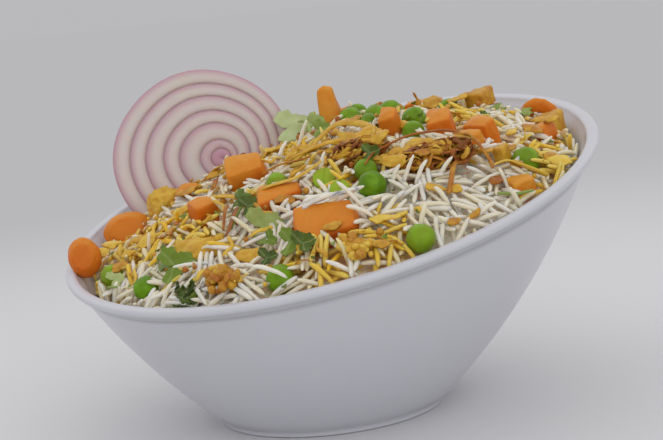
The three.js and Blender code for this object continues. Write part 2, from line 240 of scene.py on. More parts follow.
class HeapForm:
    """The soft outline of the heaped rice over the rim's plane."""

    def __init__(self, sizes):
        self.sizes = sizes

    def drop(self, angle):
        """How far under the lip the rice meets the wall in a direction."""
        sizes = self.sizes
        away = 0.5 - 0.5 * math.cos(angle - sizes.served_side)
        return sizes.least_drop + (sizes.greatest_drop - sizes.least_drop) * away**0.7

    def ripple(self, x, y):
        """The uneven surface that a spoon leaves."""
        x, y = x / MM, y / MM
        broad = math.sin(x / 9 + 1.3) * math.cos(y / 11 - 0.4) + math.sin((x + y) / 14)
        fine = math.sin(x / 2.7 + y / 6.1) * math.cos(y / 3.1 - x / 7.3)
        return (0.8 * broad + 0.7 * fine) * MM

    def height(self, x, y):
        """Height of the heap over the rim's plane."""
        sizes = self.sizes
        dx, dy = x - sizes.crown_x, y - sizes.crown_y
        distance = max(math.hypot(dx, dy), 1e-9)
        along = (sizes.crown_x * dx + sizes.crown_y * dy) / distance
        offset = sizes.crown_x**2 + sizes.crown_y**2
        reach = math.sqrt(along**2 + sizes.radius**2 - offset) - along
        share = min(distance / reach, 1.0)
        drop = self.drop(math.atan2(y, x))
        return (sizes.crown_height + drop) * (1 - share**2) - drop + self.ripple(x, y)

    def mound(self, x, y):
        """Small mounds of rice against the larger toppings."""
        return sum(rise * MM * bell(x, y, *spot) for *spot, rise in MOUNDS)

    def room_over(self, x, y):
        """Height that the grains may reach."""
        return self.height(x, y) + self.sizes.over + self.mound(x, y)


# ---- Shader expressions ---------------------------------------------------------------------


class Wire:
    """A node's output socket that can be used in arithmetic."""

    def __init__(self, finish, socket):
        self.finish = finish
        self.socket = socket

    def math(self, operation, *others):
        values = {index: value for index, value in enumerate(others)}
        return self.finish.node("ShaderNodeMath", {"operation": operation}, values)

    def __add__(self, other):
        return self.math("ADD", self, other)

    def __sub__(self, other):
        return self.math("SUBTRACT", self, other)

    def __rsub__(self, other):
        return self.math("SUBTRACT", other, self)

    def __mul__(self, other):
        return self.math("MULTIPLY", self, other)

    __radd__ = __add__
    __rmul__ = __mul__

    def between(self, low, high):
        """0 at low, 1 at high and smooth in between."""
        settings = {"interpolation_type": "SMOOTHSTEP"}
        values = {"Value": self, "From Min": low, "From Max": high}
        return self.finish.node("ShaderNodeMapRange", settings, values)


class Finish:
    """Builds one procedural material."""

    def __init__(self, name, roughness=0.5, **shader):
        self.material = bpy.data.materials.new(name)
        self.material.use_nodes = True
        self.tree = self.material.node_tree
        self.shader = self.tree.nodes["Principled BSDF"]
        self.shader.inputs["Roughness"].default_value = roughness
        for socket, value in shader.items():
            self.shader.inputs[socket.replace("_", " ")].default_value = value
        self.place = self.node("ShaderNodeTexCoord", output="Object")

    def node(self, kind, settings=None, values=None, output=0):
        """Adds a node: its settings first, then the values or wires of its sockets."""
        node = self.tree.nodes.new(kind)
        for key, value in (settings or {}).items():
            if key == "stops":
                self.set_stops(node.color_ramp, value)
            else:
                setattr(node, key, value)
        for key, value in (values or {}).items():
            if isinstance(value, Wire):
                self.tree.links.new(value.socket, node.inputs[key])
            else:
                node.inputs[key].default_value = value
        return Wire(self, node.outputs[output])

    @staticmethod
    def set_stops(ramp, stops):
        while len(ramp.elements) < len(stops):
            ramp.elements.new(1)
        for element, (position, rgb) in zip(ramp.elements, stops):
            element.position = position
            element.color = (*rgb, 1)

    def noise(self, scale, detail=2.0, roughness=0.5, place=None):
        values = {"Vector": place or self.place, "Scale": scale, "Detail": detail, "Roughness": roughness}
        return self.node("ShaderNodeTexNoise", None, values, "Fac")

    def cells(self, scale, feature="F1", place=None):
        values = {"Vector": place or self.place, "Scale": scale}
        return self.node("ShaderNodeTexVoronoi", {"feature": feature}, values, "Distance")

    def kept(self, name):
        """A value kept on the mesh's points."""
        return self.node("ShaderNodeAttribute", {"attribute_name": name}, None, "Fac")

    def mix(self, share, first, second, blend="MIX"):
        """A colour between two colours."""
        first, second = (c if isinstance(c, Wire) else (*c, 1) for c in (first, second))
        settings = {"data_type": "RGBA", "blend_type": blend}
        return self.node("ShaderNodeMix", settings, {0: share, 6: first, 7: second}, 2)

    def bump(self, height, distance, strength=1.0):
        values = {"Height": height, "Distance": distance, "Strength": strength}
        self.set("Normal", self.node("ShaderNodeBump", None, values, "Normal"))

    def set(self, socket, value):
        self.tree.links.new(value.socket, self.shader.inputs[socket])


def tinted(rgb, factor):
    """A colour made lighter or darker."""
    return tuple(min(channel * factor, 1.0) for channel in rgb)


# ---- Mesh helpers ---------------------------------------------------------------------------


def finished(bm, name, material, slot, *replaced, smooth=True):
    """Turns a bmesh into a piece that rides on the part."""
    mesh = bpy.data.meshes.new(name)
    bm.to_mesh(mesh)
    bm.free()
    return placed(mesh, name, material, slot, *replaced, smooth=smooth)


def linked(name, data):
    """A new object in the scene."""
    thing = bpy.data.objects.new(name, data)
    bpy.context.scene.collection.objects.link(thing)
    return thing


def placed(mesh, name, material, slot, *replaced, smooth=True):
    """Turns a mesh into a piece that rides on the part."""
    mesh.polygons.foreach_set("use_smooth", [smooth] * len(mesh.polygons))
    mesh.materials.clear()
    mesh.materials.append(material)
    piece = linked(name, mesh)
    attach(piece, "root")
    if replaced:
        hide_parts(*replaced)
    return piece


def shape_arrays(mesh, kept):
    """A mesh's points, corners and face starts as arrays, with its kept values."""
    points = np.empty(len(mesh.vertices) * 3, np.float32)
    mesh.vertices.foreach_get("co", points)
    corners = np.empty(len(mesh.loops), np.int32)
    mesh.loops.foreach_get("vertex_index", corners)
    starts = np.empty(len(mesh.polygons), np.int32)
    mesh.polygons.foreach_get("loop_start", starts)
    values = {}
    for name in kept:
        values[name] = np.zeros(len(mesh.vertices), np.float32)
        if name in mesh.attributes:
            mesh.attributes[name].data.foreach_get("value", values[name])
    return points.reshape(-1, 3), corners, starts, values


def joined(name, rows, kept=()):
    """One mesh made of many placed copies. Each row is a shape, its matrix and its tint."""
    known = {}
    points, corners, starts, tints = [], [], [], []
    values = {key: [] for key in kept}
    point_count = corner_count = 0
    for shape, matrix, tint in rows:
        if shape.name not in known:
            known[shape.name] = shape_arrays(shape, kept)
        shape_points, shape_corners, shape_starts, shape_values = known[shape.name]
        turn = np.array(matrix.to_3x3(), np.float32)
        points.append(shape_points @ turn.T + np.array(matrix.translation, np.float32))
        corners.append(shape_corners + point_count)
        starts.append(shape_starts + corner_count)
        tints.append(np.full(len(shape_points), tint, np.float32))
        for key in kept:
            values[key].append(shape_values[key])
        point_count += len(shape_points)
        corner_count += len(shape_corners)
    mesh = bpy.data.meshes.new(name)
    mesh.vertices.add(point_count)
    mesh.vertices.foreach_set("co", np.concatenate(points).ravel())
    mesh.loops.add(corner_count)
    mesh.loops.foreach_set("vertex_index", np.concatenate(corners))
    all_starts = np.concatenate(starts)
    mesh.polygons.add(len(all_starts))
    mesh.polygons.foreach_set("loop_start", all_starts)
    mesh.update(calc_edges=True)
    for key, parts in [("tint", tints), *values.items()]:
        attribute = mesh.attributes.new(key, "FLOAT", "POINT")
        attribute.data.foreach_set("value", np.concatenate(parts))
    return mesh


def keep(bm, name, value_of):
    """Keeps a value on each point of a bmesh."""
    layer = bm.verts.layers.float.get(name) or bm.verts.layers.float.new(name)
    for vert in bm.verts:
        vert[layer] = value_of(vert.co)


def to_shape(bm, name):
    mesh = bpy.data.meshes.new(name)
    bm.to_mesh(mesh)
    bm.free()
    return mesh


def absorb(whole, part):
    """Adds one bmesh to another and frees it."""
    mesh = to_shape(part, "part")
    whole.from_mesh(mesh)
    bpy.data.meshes.remove(mesh)


def spun(outline, steps, closed=False):
    """A bmesh made by turning an outline of radius and height pairs about Z."""
    bm = bmesh.new()
    verts = [bm.verts.new((radius, 0, height)) for radius, height in outline]
    following = verts[1:] + verts[:1] if closed else verts[1:]
    edges = [bm.edges.new(pair) for pair in zip(verts, following)]
    bmesh.ops.spin(
        bm, geom=verts + edges, cent=(0, 0, 0), axis=UP, angle=math.tau, steps=steps, use_merge=True
    )
    bmesh.ops.remove_doubles(bm, verts=bm.verts, dist=1e-6)
    return bm


def turn_and_lean(turn, lean):
    """A turn about Z that follows a lean about X."""
    return Matrix.Rotation(turn, 4, "Z") @ Matrix.Rotation(lean, 4, "X")


def lumps(point, size, seed=0.0):
    """Smooth noise between about -1 and 1 with lumps of a given size."""
    return noise.noise(point / size + Vector((seed, seed * 1.7, -seed)))


# ---- The bed that things are laid on --------------------------------------------------------


class Bed:
    """The height of all that is laid so far over the rim's plane, on a square grid."""

    def __init__(self, reach, cell):
        self.reach = reach
        self.cell = cell
        side = int(2 * reach / cell) + 1
        self.height = np.full((side, side), -1.0)
        self.taken = np.zeros((side, side), bool)

    def index(self, x, y):
        """Column and row of the cell that holds a place."""
        last = self.height.shape[0] - 1
        return tuple(
            np.clip(((np.asarray(part) + self.reach) / self.cell).astype(int), 0, last) for part in (x, y)
        )

    def place(self, i, j):
        """The place of a cell in the rim's plane."""
        return i * self.cell - self.reach, j * self.cell - self.reach

    def fill(self, height_of):
        """Gives every cell within reach its height."""
        for i in range(self.height.shape[0]):
            for j in range(self.height.shape[1]):
                x, y = self.place(i, j)
                if math.hypot(x, y) < self.reach:
                    self.height[i, j] = height_of(x, y)

    def stand(self, node, rim, heap):
        """Marks the room that a topping takes where it stands proud of the rice."""
        to_rim = rim.inverted()
        low, high = extent(node, to_rim)
        first, last = self.index(low[0], low[1]), self.index(high[0], high[1])
        down = rim.to_3x3() @ Vector((0, 0, -1))
        above = 0.1
        known_rise = 5 * MM
        proud = 0.6 * MM
        for i in range(int(first[0]), int(last[0]) + 1):
            for j in range(int(first[1]), int(last[1]) + 1):
                x, y = self.place(i, j)
                hit, spot, _, _ = node.ray_cast(rim @ Vector((x, y, above)), down)
                if hit:
                    top = (to_rim @ spot).z
                    known = min(top, heap.room_over(x, y) + known_rise)
                    self.height[i, j] = max(self.height[i, j], known)
                    self.taken[i, j] = top > heap.room_over(x, y) - proud

    def rest(self, x, y, turn, half, thickness, sink):
        """How a stick comes to rest: the height of its middle, its pitch and the share on toppings."""
        along = np.linspace(-half, half, 11)
        spots = self.index(x + along * math.cos(turn), y + along * math.sin(turn))
        heights = self.height[spots]
        near_middle = half * 0.15
        left, right = along < -near_middle, along > near_middle
        left_along, right_along = along[left][:, None], along[right][None, :]
        left_height, right_height = heights[left][:, None], heights[right][None, :]
        run, climb = right_along - left_along, right_height - left_height
        middle = left_height + climb * (-left_along) / run
        best = np.unravel_index(np.argmax(middle), middle.shape)
        slope = climb[best] / run[best]
        centre = max(middle[best], heights[len(along) // 2]) + thickness / 2 - sink
        return centre, math.atan(slope), self.taken[spots].mean()

    def surface(self, x, y, reach):
        """Height and slope of what is laid so far, over a small patch."""
        steps = np.linspace(-reach, reach, 7)
        dx, dy = np.meshgrid(steps, steps)
        heights = self.height[self.index(x + dx, y + dy)]
        slope_x = (dx * heights).sum() / (dx * dx).sum()
        slope_y = (dy * heights).sum() / (dy * dy).sum()
        return np.percentile(heights, 70), Vector((-slope_x, -slope_y, 1)).normalized()

    def lay(self, x, y, turn, half, thickness, centre, pitch):
        """Adds a stick's own height to the bed."""
        along, across = np.meshgrid(
            np.linspace(-half, half, 26) * math.cos(pitch), np.linspace(-1, 1, 7) * thickness / 2
        )
        spots = self.index(
            x + along * math.cos(turn) - across * math.sin(turn),
            y + along * math.sin(turn) + across * math.cos(turn),
        )
        rise = np.sqrt(np.maximum((thickness / 2) ** 2 - across**2, 0))
        np.maximum.at(self.height, spots, centre + along * math.tan(pitch) + rise)


def extent(node, to_rim):
    """Lowest and highest corner of a node, measured along the rim's plane."""
    points = np.array([to_rim @ vert.co for vert in node.data.vertices])
    return points.min(0), points.max(0)


def stick_matrix(form, place, turn, pitch):
    """How a stick lies: its middle over the rim's plane, its turn and how far it points upward."""
    return (
        form.rim
        @ Matrix.Translation(place)
        @ Matrix.Rotation(turn, 4, "Z")
        @ Matrix.Rotation(-pitch, 4, "Y")
    )


# ---- Shapes that many toppings share --------------------------------------------------------


def strand_shape(name, points, width, thickness, twist=0.0, taper=0.35):
    """A closed flat bar that follows a path of points, narrowing at both ends."""
    stations = len(points)
    bm = bmesh.new()
    bmesh.ops.create_cone(bm, cap_ends=True, segments=6, radius1=0.5, radius2=0.5, depth=1)
    sides = [edge for edge in bm.edges if abs(edge.verts[0].co.z - edge.verts[1].co.z) > 0.5]
    bmesh.ops.subdivide_edges(bm, edges=sides, cuts=stations - 2, use_grid_fill=True)
    layer = bm.verts.layers.float.new("along")
    for vert in bm.verts:
        share = vert.co.z + 0.5
        station = round(share * (stations - 1))
        ahead = points[min(station + 1, stations - 1)] - points[max(station - 1, 0)]
        tangent = ahead.normalized()
        across = tangent.cross(UP)
        across = across.normalized() if across.length > 1e-3 else Vector((1, 0, 0))
        across = Matrix.Rotation(twist * share, 3, tangent) @ across
        thin = 1 - taper * (2 * share - 1) ** 4
        vert[layer] = share
        vert.co = (
            points[station]
            + across * (vert.co.x * width * thin)
            + across.cross(tangent) * (vert.co.y * thickness * thin)
        )
    bmesh.ops.recalc_face_normals(bm, faces=bm.faces)
    return to_shape(bm, name)


def eased(points, times):
    """A path with its corners rounded off."""
    for _ in range(times):
        inner = [(points[i - 1] + points[i] * 2 + points[i + 1]) / 4 for i in range(1, len(points) - 1)]
        points = [points[0], *inner, points[-1]]
    return points


def resampled(points, steps):
    """Evenly many points along a path of straight runs."""
    result = []
    for i in range(steps + 1):
        place = i / steps * (len(points) - 1)
        first = min(int(place), len(points) - 2)
        result.append(points[first].lerp(points[first + 1], place - first))
    return result


def curl_path(rng, reach, curl):
    """A loose curl lying along X."""
    steps = 12
    phase = rng.uniform(0, math.tau)
    waves = rng.uniform(0.4, 1.3)
    points = []
    for i in range(steps + 1):
        share = i / steps - 0.5
        sway = math.sin(share * math.tau * waves + phase)
        rise = math.cos(share * math.tau * waves * 1.3 + phase * 2)
        points.append(Vector((share * reach, sway * curl, rise * curl * 0.35)))
    return points


def sheet_shape(name, outline, thickness, bend, across=18, kept=()):
    """A closed thin sheet with an outline given by angle; bend puts its points in place."""
    bm = bmesh.new()
    bmesh.ops.create_grid(bm, x_segments=across, y_segments=across, size=1)
    for vert in bm.verts:
        u, v = vert.co.x, vert.co.y
        x, y = u * math.sqrt(1 - v * v / 2), v * math.sqrt(1 - u * u / 2)
        reach = outline(math.atan2(y, x))
        vert.co = Vector((x * reach, y * reach, 0))
    bmesh.ops.solidify(bm, geom=bm.faces[:], thickness=thickness)
    for key, value_of in kept:
        keep(bm, key, value_of)
    for vert in bm.verts:
        vert.co = bend(vert.co.x, vert.co.y) + UP * vert.co.z
    bmesh.ops.recalc_face_normals(bm, faces=bm.faces)
    return to_shape(bm, name)


def crumb_shape(name, seed, rough, subdivisions=3):
    """A crumbly lump a unit across."""
    bm = bmesh.new()
    bmesh.ops.create_icosphere(bm, subdivisions=subdivisions, radius=0.5)
    for vert in bm.verts:
        out = vert.co.normalized()
        vert.co += out * rough * (lumps(out, 0.55, seed) + 0.55 * lumps(out, 0.24, seed))
    return to_shape(bm, name)


def chunk_shape(name, seed):
    """A soft-edged block a unit across, slightly out of true."""
    bm = bmesh.new()
    bmesh.ops.create_cube(bm, size=0.9)
    bmesh.ops.bevel(
        bm, geom=bm.edges[:], offset=0.14, segments=3, profile=0.5, affect="EDGES", material=-1
    )
    bmesh.ops.subdivide_edges(bm, edges=bm.edges[:], cuts=2, use_grid_fill=True)
    for vert in bm.verts:
        vert.co += vert.co.normalized() * 0.12 * lumps(vert.co, 0.5, seed)
    return to_shape(bm, name)


# A lean beyond which a piece stands and doesn't follow the slope, and the steepest slope to follow.
STANDING = math.radians(33)
STEEP = 0.8


def on_bed(form, bed, x, y, lift, turn=0.0, lean=0.0):
    """Lays something on what is laid so far: place in the rim's plane, lift over it and turns."""
    height, normal = bed.surface(x, y, 2.5 * MM)
    if lean > STANDING or normal.z < STEEP:
        normal = UP
    return (
        form.rim
        @ Matrix.Translation((x, y, height + lift))
        @ UP.rotation_difference(normal).to_matrix().to_4x4()
        @ Matrix.Rotation(turn, 4, "Z")
        @ Matrix.Rotation(lean, 4, "X")
    )


def strewn(form, bed, rng, x, y, room):
    """Whether a loose bit may lie at a place: on the rice, clear of the wall, seldom on the bare side."""
    bare = math.exp(-((x / MM - 64) ** 2 + (y / MM + 24) ** 2) / 900)
    spot = bed.index(x, y)
    clear = form.room_to_wall(Vector((x, y, bed.height[spot]))) > room
    return clear and rng.random() > bare and not bed.taken[spot]


def loose_spots(form, bed, rng, half_side, room=4 * MM):
    """Places at random where a loose bit may lie, one after another without end."""
    while True:
        x, y = rng.uniform(-half_side, half_side) * MM, rng.uniform(-half_side, half_side) * MM
        if strewn(form, bed, rng, x, y, room):
            yield x, y


def bed_point(bed, x, y, lift):
    """A point over what is laid so far, from millimetres."""
    height, _ = bed.surface(x * MM, y * MM, 1.5 * MM)
    return Vector((x * MM, y * MM, height + lift * MM))


def rim_box(form, name):
    """Middle and size of a node, measured along the rim's plane."""
    low, high = extent(NODES[name], form.rim.inverted())
    return Vector((low + high) / 2), Vector(high - low)


# ---- The stage ------------------------------------------------------------------------------


FLOOR_RADIUS = 60.0
FLOOR_GAP = 0.0002
# The floor is painted brighter near the bowl, like a pool of light, and fades to the far floor between these
# distances so that no horizon shows.
FADE_FROM, FADE_TO = 0.16, 0.75
AIR_STRENGTH = 0.58
# Name, direction it comes from, strength, spread in degrees and colour.
SUNS = [
    ("skylight", (0.14, -0.40, 0.90), 0.67, 160, (1.0, 1.0, 1.0)),
    ("fill", (0.90, -0.51, 0.42), 0.50, 60, (1.0, 0.99, 0.98)),
    ("rim_light", (-0.60, 0.50, 0.62), 0.46, 110, (1.0, 0.98, 0.95)),
]
# What the camera looks at, before its turn round the bowl.
LOOKED_AT = (0.0067, 0, 0.0652)


def soft_sun(name, away, power, spread, rgb):
    """A broad, even light from one side, with its spread in degrees."""
    data = bpy.data.lights.new(name, "SUN")
    data.energy = power
    data.angle = math.radians(spread)
    data.color = rgb
    light = linked(name, data)
    light.rotation_euler = (-Vector(away)).to_track_quat("-Z", "Y").to_euler()


class BIRYANI_OT_stage(bpy.types.Operator):
    """Sets the floor, the soft light and the camera"""

    bl_idname = "biryani.stage"
    bl_label = "Stage"

    def execute(self, context):
        stage = context.scene.biryani.stage
        self.floor(stage)
        self.air(context.scene, stage)
        for sun in SUNS:
            soft_sun(*sun)
        self.camera(context.scene, stage)
        return {"FINISHED"}

    def floor(self, stage):
        bm = bmesh.new()
        bmesh.ops.create_circle(bm, cap_ends=True, segments=96, radius=FLOOR_RADIUS)
        mesh = to_shape(bm, "floor")
        finish = Finish("pale_floor", roughness=0.9, Specular_IOR_Level=0.0)
        away = finish.node("ShaderNodeVectorMath", {"operation": "LENGTH"}, {0: finish.place}, "Value")
        grain = finish.mix(finish.noise(3.0, 3.0), stage.floor, tinted(stage.floor, 1.03))
        # Painted light: a pool of light painted round the bowl, fading into the darker far floor.
        painted_light_pool = away.between(FADE_FROM, FADE_TO)
        finish.set("Base Color", finish.mix(painted_light_pool, grain, stage.far_floor))
        mesh.materials.append(finish.material)
        floor = linked("floor", mesh)
        floor.location.z = -FLOOR_GAP

    def air(self, scene, stage):
        world = bpy.data.worlds.new("soft_room")
        world.use_nodes = True
        background = world.node_tree.nodes["Background"]
        background.inputs["Color"].default_value = (*stage.air, 1)
        background.inputs["Strength"].default_value = AIR_STRENGTH
        scene.world = world
        scene.view_settings.view_transform = "Standard"
        scene.view_settings.look = "None"

    def camera(self, scene, stage):
        data = bpy.data.cameras.new("camera")
        data.lens = stage.focal_length
        data.sensor_width = 36
        data.clip_start = 0.01
        data.clip_end = 100
        camera = linked("camera", data)
        turn = Matrix.Rotation(stage.azimuth, 4, "Z")
        target = turn @ Vector(LOOKED_AT)
        back = turn @ Vector((0, -math.cos(stage.elevation), math.sin(stage.elevation)))
        level = back.to_track_quat("Z", "Y").to_matrix().to_4x4()
        tipped = level @ Matrix.Rotation(-stage.roll, 4, "Z")
        camera.matrix_world = Matrix.Translation(target + back * stage.distance) @ tipped
        scene.camera = camera


# ---- The bowl -------------------------------------------------------------------------------


def arc(centre, radius, start, end, steps):
    """Points on an arc, by radius and height, with angles in degrees."""
    return [
        (
            centre[0] + radius * math.cos(math.radians(start + (end - start) * i / steps)),
            centre[1] + radius * math.sin(math.radians(start + (end - start) * i / steps)),
        )
        for i in range(steps + 1)
    ]


LIP_HEIGHT = 2.3 * MM


def bowl_profile(form):
    """The level bowl's outline from the middle of its foot, over the lip, to the middle of its floor."""
    sizes = form.sizes
    top, foot = form.top, sizes.foot_height
    soft = 0.5 * MM
    lip, roll = 1.1 * MM, 1.25 * MM
    band_foot = top - sizes.band_height
    profile = [(0, 0), (sizes.foot_radius * 0.5, 0)]
    profile += arc((sizes.foot_radius - soft, soft), soft, -90, 0, 4)
    profile += [(sizes.foot_radius, foot)]
    wall_steps = 22
    start = foot + 0.8 * MM
    for i in range(wall_steps + 1):
        height = start + (band_foot - start) * i / wall_steps
        profile.append((form.flare(height), height))
    proud = form.flare(top) + sizes.band_proud
    profile += arc((form.flare(band_foot) + sizes.band_proud - soft, band_foot + soft), soft, -80, 0, 4)
    profile += [(proud - 0.12 * MM, top - LIP_HEIGHT)]
    profile += arc((proud + 0.35 * MM - roll, top - roll), roll, -48, 90, 9)
    inner = form.flare(top) - form.wall(top)
    profile += arc((inner + lip, top - lip), lip, 90, 180, 6)
    floor = sizes.floor_height
    fillet = 5 * MM
    for i in range(wall_steps + 1):
        height = top - 2 * lip + (floor + fillet - top + 2 * lip) * i / wall_steps
        profile.append((form.flare(height) - form.wall(height), height))
    corner = (form.flare(floor) - form.wall(floor) - fillet, floor + fillet)
    profile += arc(corner, fillet, -20, -90, 5)
    profile += [(0, floor)]
    return profile


def glaze_finish(rgb):
    finish = Finish("white_glaze", roughness=0.3, Coat_Weight=0.2, Coat_Roughness=0.22, IOR=1.45)
    cloud = finish.noise(55.0, 2.0)
    plain = finish.mix(cloud, tinted(rgb, 0.985), tinted(rgb, 1.015))
    # Painted shade: the glaze on the band under the lip is made darker and warmer, as if the rolled lip
    # shaded it.
    shaded = finish.mix(finish.kept("band") * 0.8, plain, (rgb[0] * 0.80, rgb[1] * 0.81, rgb[2] * 0.77))
    finish.set("Base Color", shaded)
    finish.set("Roughness", cloud * 0.06 + 0.26)
    return finish.material


class BIRYANI_OT_bowl(bpy.types.Operator):
    """Throws the glazed bowl and slants its rim"""

    bl_idname = "biryani.bowl"
    bl_label = "Bowl"

    def execute(self, context):
        settings = context.scene.biryani.bowl
        form = BowlForm(settings)
        bm = spun(bowl_profile(form), 144)
        lowest = form.top - settings.band_height - 0.1 * MM
        highest = form.top - LIP_HEIGHT + 0.05 * MM

        # Painted shade: marks the band under the lip, where the glaze is painted darker.
        def painted_shade_under_lip(co):
            outside = math.hypot(co.x, co.y) > form.flare(co.z) - 0.4 * MM
            return 1.0 if outside and lowest < co.z < highest else 0.0

        keep(bm, "band", painted_shade_under_lip)
        for vert in bm.verts:
            vert.co = form.slanted(vert.co)
        bmesh.ops.recalc_face_normals(bm, faces=bm.faces)
        finished(bm, "bowl_glazed", glaze_finish(settings.glaze), "bowl_glaze", "bowl")
        return {"FINISHED"}


# ---- The rice -------------------------------------------------------------------------------


def grain_shape(name, size, width, bend, seed):
    """One cooked grain of basmati lying along X: long, slightly bowed, with one slimmer end."""
    bm = bmesh.new()
    bmesh.ops.create_uvsphere(bm, u_segments=6, v_segments=7, radius=1)
    for vert in bm.verts:
        along = math.copysign(abs(vert.co.z) ** 0.62, vert.co.z)
        round_off = max(1 - abs(along) ** 5, 0) ** 0.5
        side = Vector((vert.co.x, vert.co.y))
        side = side.normalized() * round_off if side.length > 1e-6 else side * 0
        slim = 1 - 0.12 * along - 0.06 * math.sin(along * 7 + seed)
        vert.co = Vector((
            along * size / 2,
            side.x * slim * width / 2,
            side.y * slim * width * 0.44 - bend * (along**2 - 0.3),
        ))
    keep(bm, "along", lambda co: co.x / size + 0.5)
    return to_shape(bm, name)


# Grains draped over the toppings: place in the rim's plane in millimetres, turn and pitch in degrees.
PROUD_GRAINS = [
    (32.5, -51.5, 13.0, 38, 30), (37, -48.5, 15.8, 38, 14), (42, -46, 16.8, 36, 2), (38, -46, 16.6, 44, -4),
    (45.5, -43.5, 16.8, 38, 6), (49.5, -44.5, 16.0, 38, -62), (53, -46.5, 12.2, 40, -38),
    (40, -78, 6.4, 30, -32), (46, -41.5, 15.6, 20, 22), (35, -45.5, 15.4, 60, 10),
    (54, -22, 14.0, 40, 58), (57, -19, 13.2, 60, 50), (50, -24, 13.0, 20, 62), (62, -14, 11.6, 30, 48),
    (20, -22, 17.6, 40, 70), (-8, 2, 19.0, 30, 60), (-10, -8, 17.2, 70, 48),
]


# Where the saffron took: place in the rim's plane and width, in millimetres.
SAFFRON_PATCHES = [
    (46, -59, 9), (64, -50, 6), (80, 24, 11), (-50, -58, 16), (-34, 8, 12), (60, 62, 12),
    (-10, -60, 8), (0, -8, 9), (14, 70, 12), (-60, 36, 14), (-22, 30, 8), (34, -68, 6),
    (24, -10, 10), (46, -7, 7), (-24, -44, 10), (30, 36, 10), (2, -30, 6),
]


def saffron_at(x, y):
    """How strongly the saffron took at a place in the rim's plane, from 0 to 1."""
    return max(bell(x, y, *patch) for patch in SAFFRON_PATCHES)


def rice_finish(name, pale, deep, warm):
    finish = Finish(name, roughness=0.42, Subsurface_Weight=0.8, Subsurface_Scale=0.0026, IOR=1.38)
    finish.shader.inputs["Subsurface Radius"].default_value = (1.0, 0.85, 0.6)
    tint = finish.kept("tint")
    along = finish.kept("along")
    body = finish.mix(tint, pale, deep)
    tip = along.between(0.8, 1.0) * 0.35
    finish.set("Base Color", finish.mix(tip, body, warm))
    finish.set("Roughness", finish.noise(900.0, 2.0) * 0.3 + 0.28)
    finish.bump(finish.noise(700.0, 2.0), 0.00015, 0.6)
    return finish.material


def core_finish(rgb):
    finish = Finish("rice_in_shade", roughness=0.7, Subsurface_Weight=0.7, Subsurface_Scale=0.003)
    # Painted light and shade: the core is painted brighter than a plain grain to lift the shade in the gaps,
    # and darker and warmer toward its cells' edges as shade between grains. The cells also give the bump.
    speck = finish.cells(420.0)
    gap = speck.between(0.1, 0.7)
    plain = finish.mix(gap, tinted(rgb, 1.14), (0.96, 0.84, 0.65))
    stained = finish.mix(gap, (0.88, 0.60, 0.22), (0.80, 0.46, 0.13))
    finish.set("Base Color", finish.mix(finish.kept("stain"), plain, stained))
    finish.bump(1 - speck, 0.001)
    return finish.material


def build_core(form, heap):
    """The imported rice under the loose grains, with the grains' relief on it."""
    sizes = heap.sizes
    depth = sizes.core_depth
    rings = 56
    edge = sizes.radius + 1.5 * MM
    underside = -20 * MM
    outline = [(edge * i / rings, 0) for i in range(rings + 1)]
    outline += [(edge - 7 * MM, -14 * MM), (edge * 0.6, underside), (0, underside)]
    bm = spun(outline, 160)
    relief = 0.9 * MM
    room = 0.3 * MM
    for vert in bm.verts:
        z = vert.co.z
        on_top = z > -5 * MM
        if on_top:
            x, y, _ = vert.co
            if x or y:
                vert.co.z = heap.height(x, y) - depth
                x, y, _ = form.pulled_in(vert.co, room)
            rough = lumps(Vector((x, y, 0)), 3.2 * MM) + 0.5 * lumps(Vector((x, y, 0)), 1.5 * MM)
            vert.co = (x, y, heap.height(x, y) - depth + relief * rough)
        else:
            vert.co.z = z + heap.height(vert.co.x, vert.co.y) * 0.4
        if vert.co.xy.length > 20 * MM:
            vert.co = form.pulled_in(vert.co, room)
    keep(bm, "stain", lambda co: saffron_at(co.x, co.y))
    bmesh.ops.transform(bm, matrix=form.rim, verts=bm.verts)
    bmesh.ops.recalc_face_normals(bm, faces=bm.faces)
    finished(bm, "rice_core", core_finish(sizes.white), "rice", "rice")


# A grain isn't laid where more of it would lie on toppings, or where it would lie steeper.
MOST_ON_TOPPING = 0.28
STEEPEST_GRAIN = math.radians(48)
# The heap is full after this many grains in a row that found no place.
MOST_MISSES = 2600


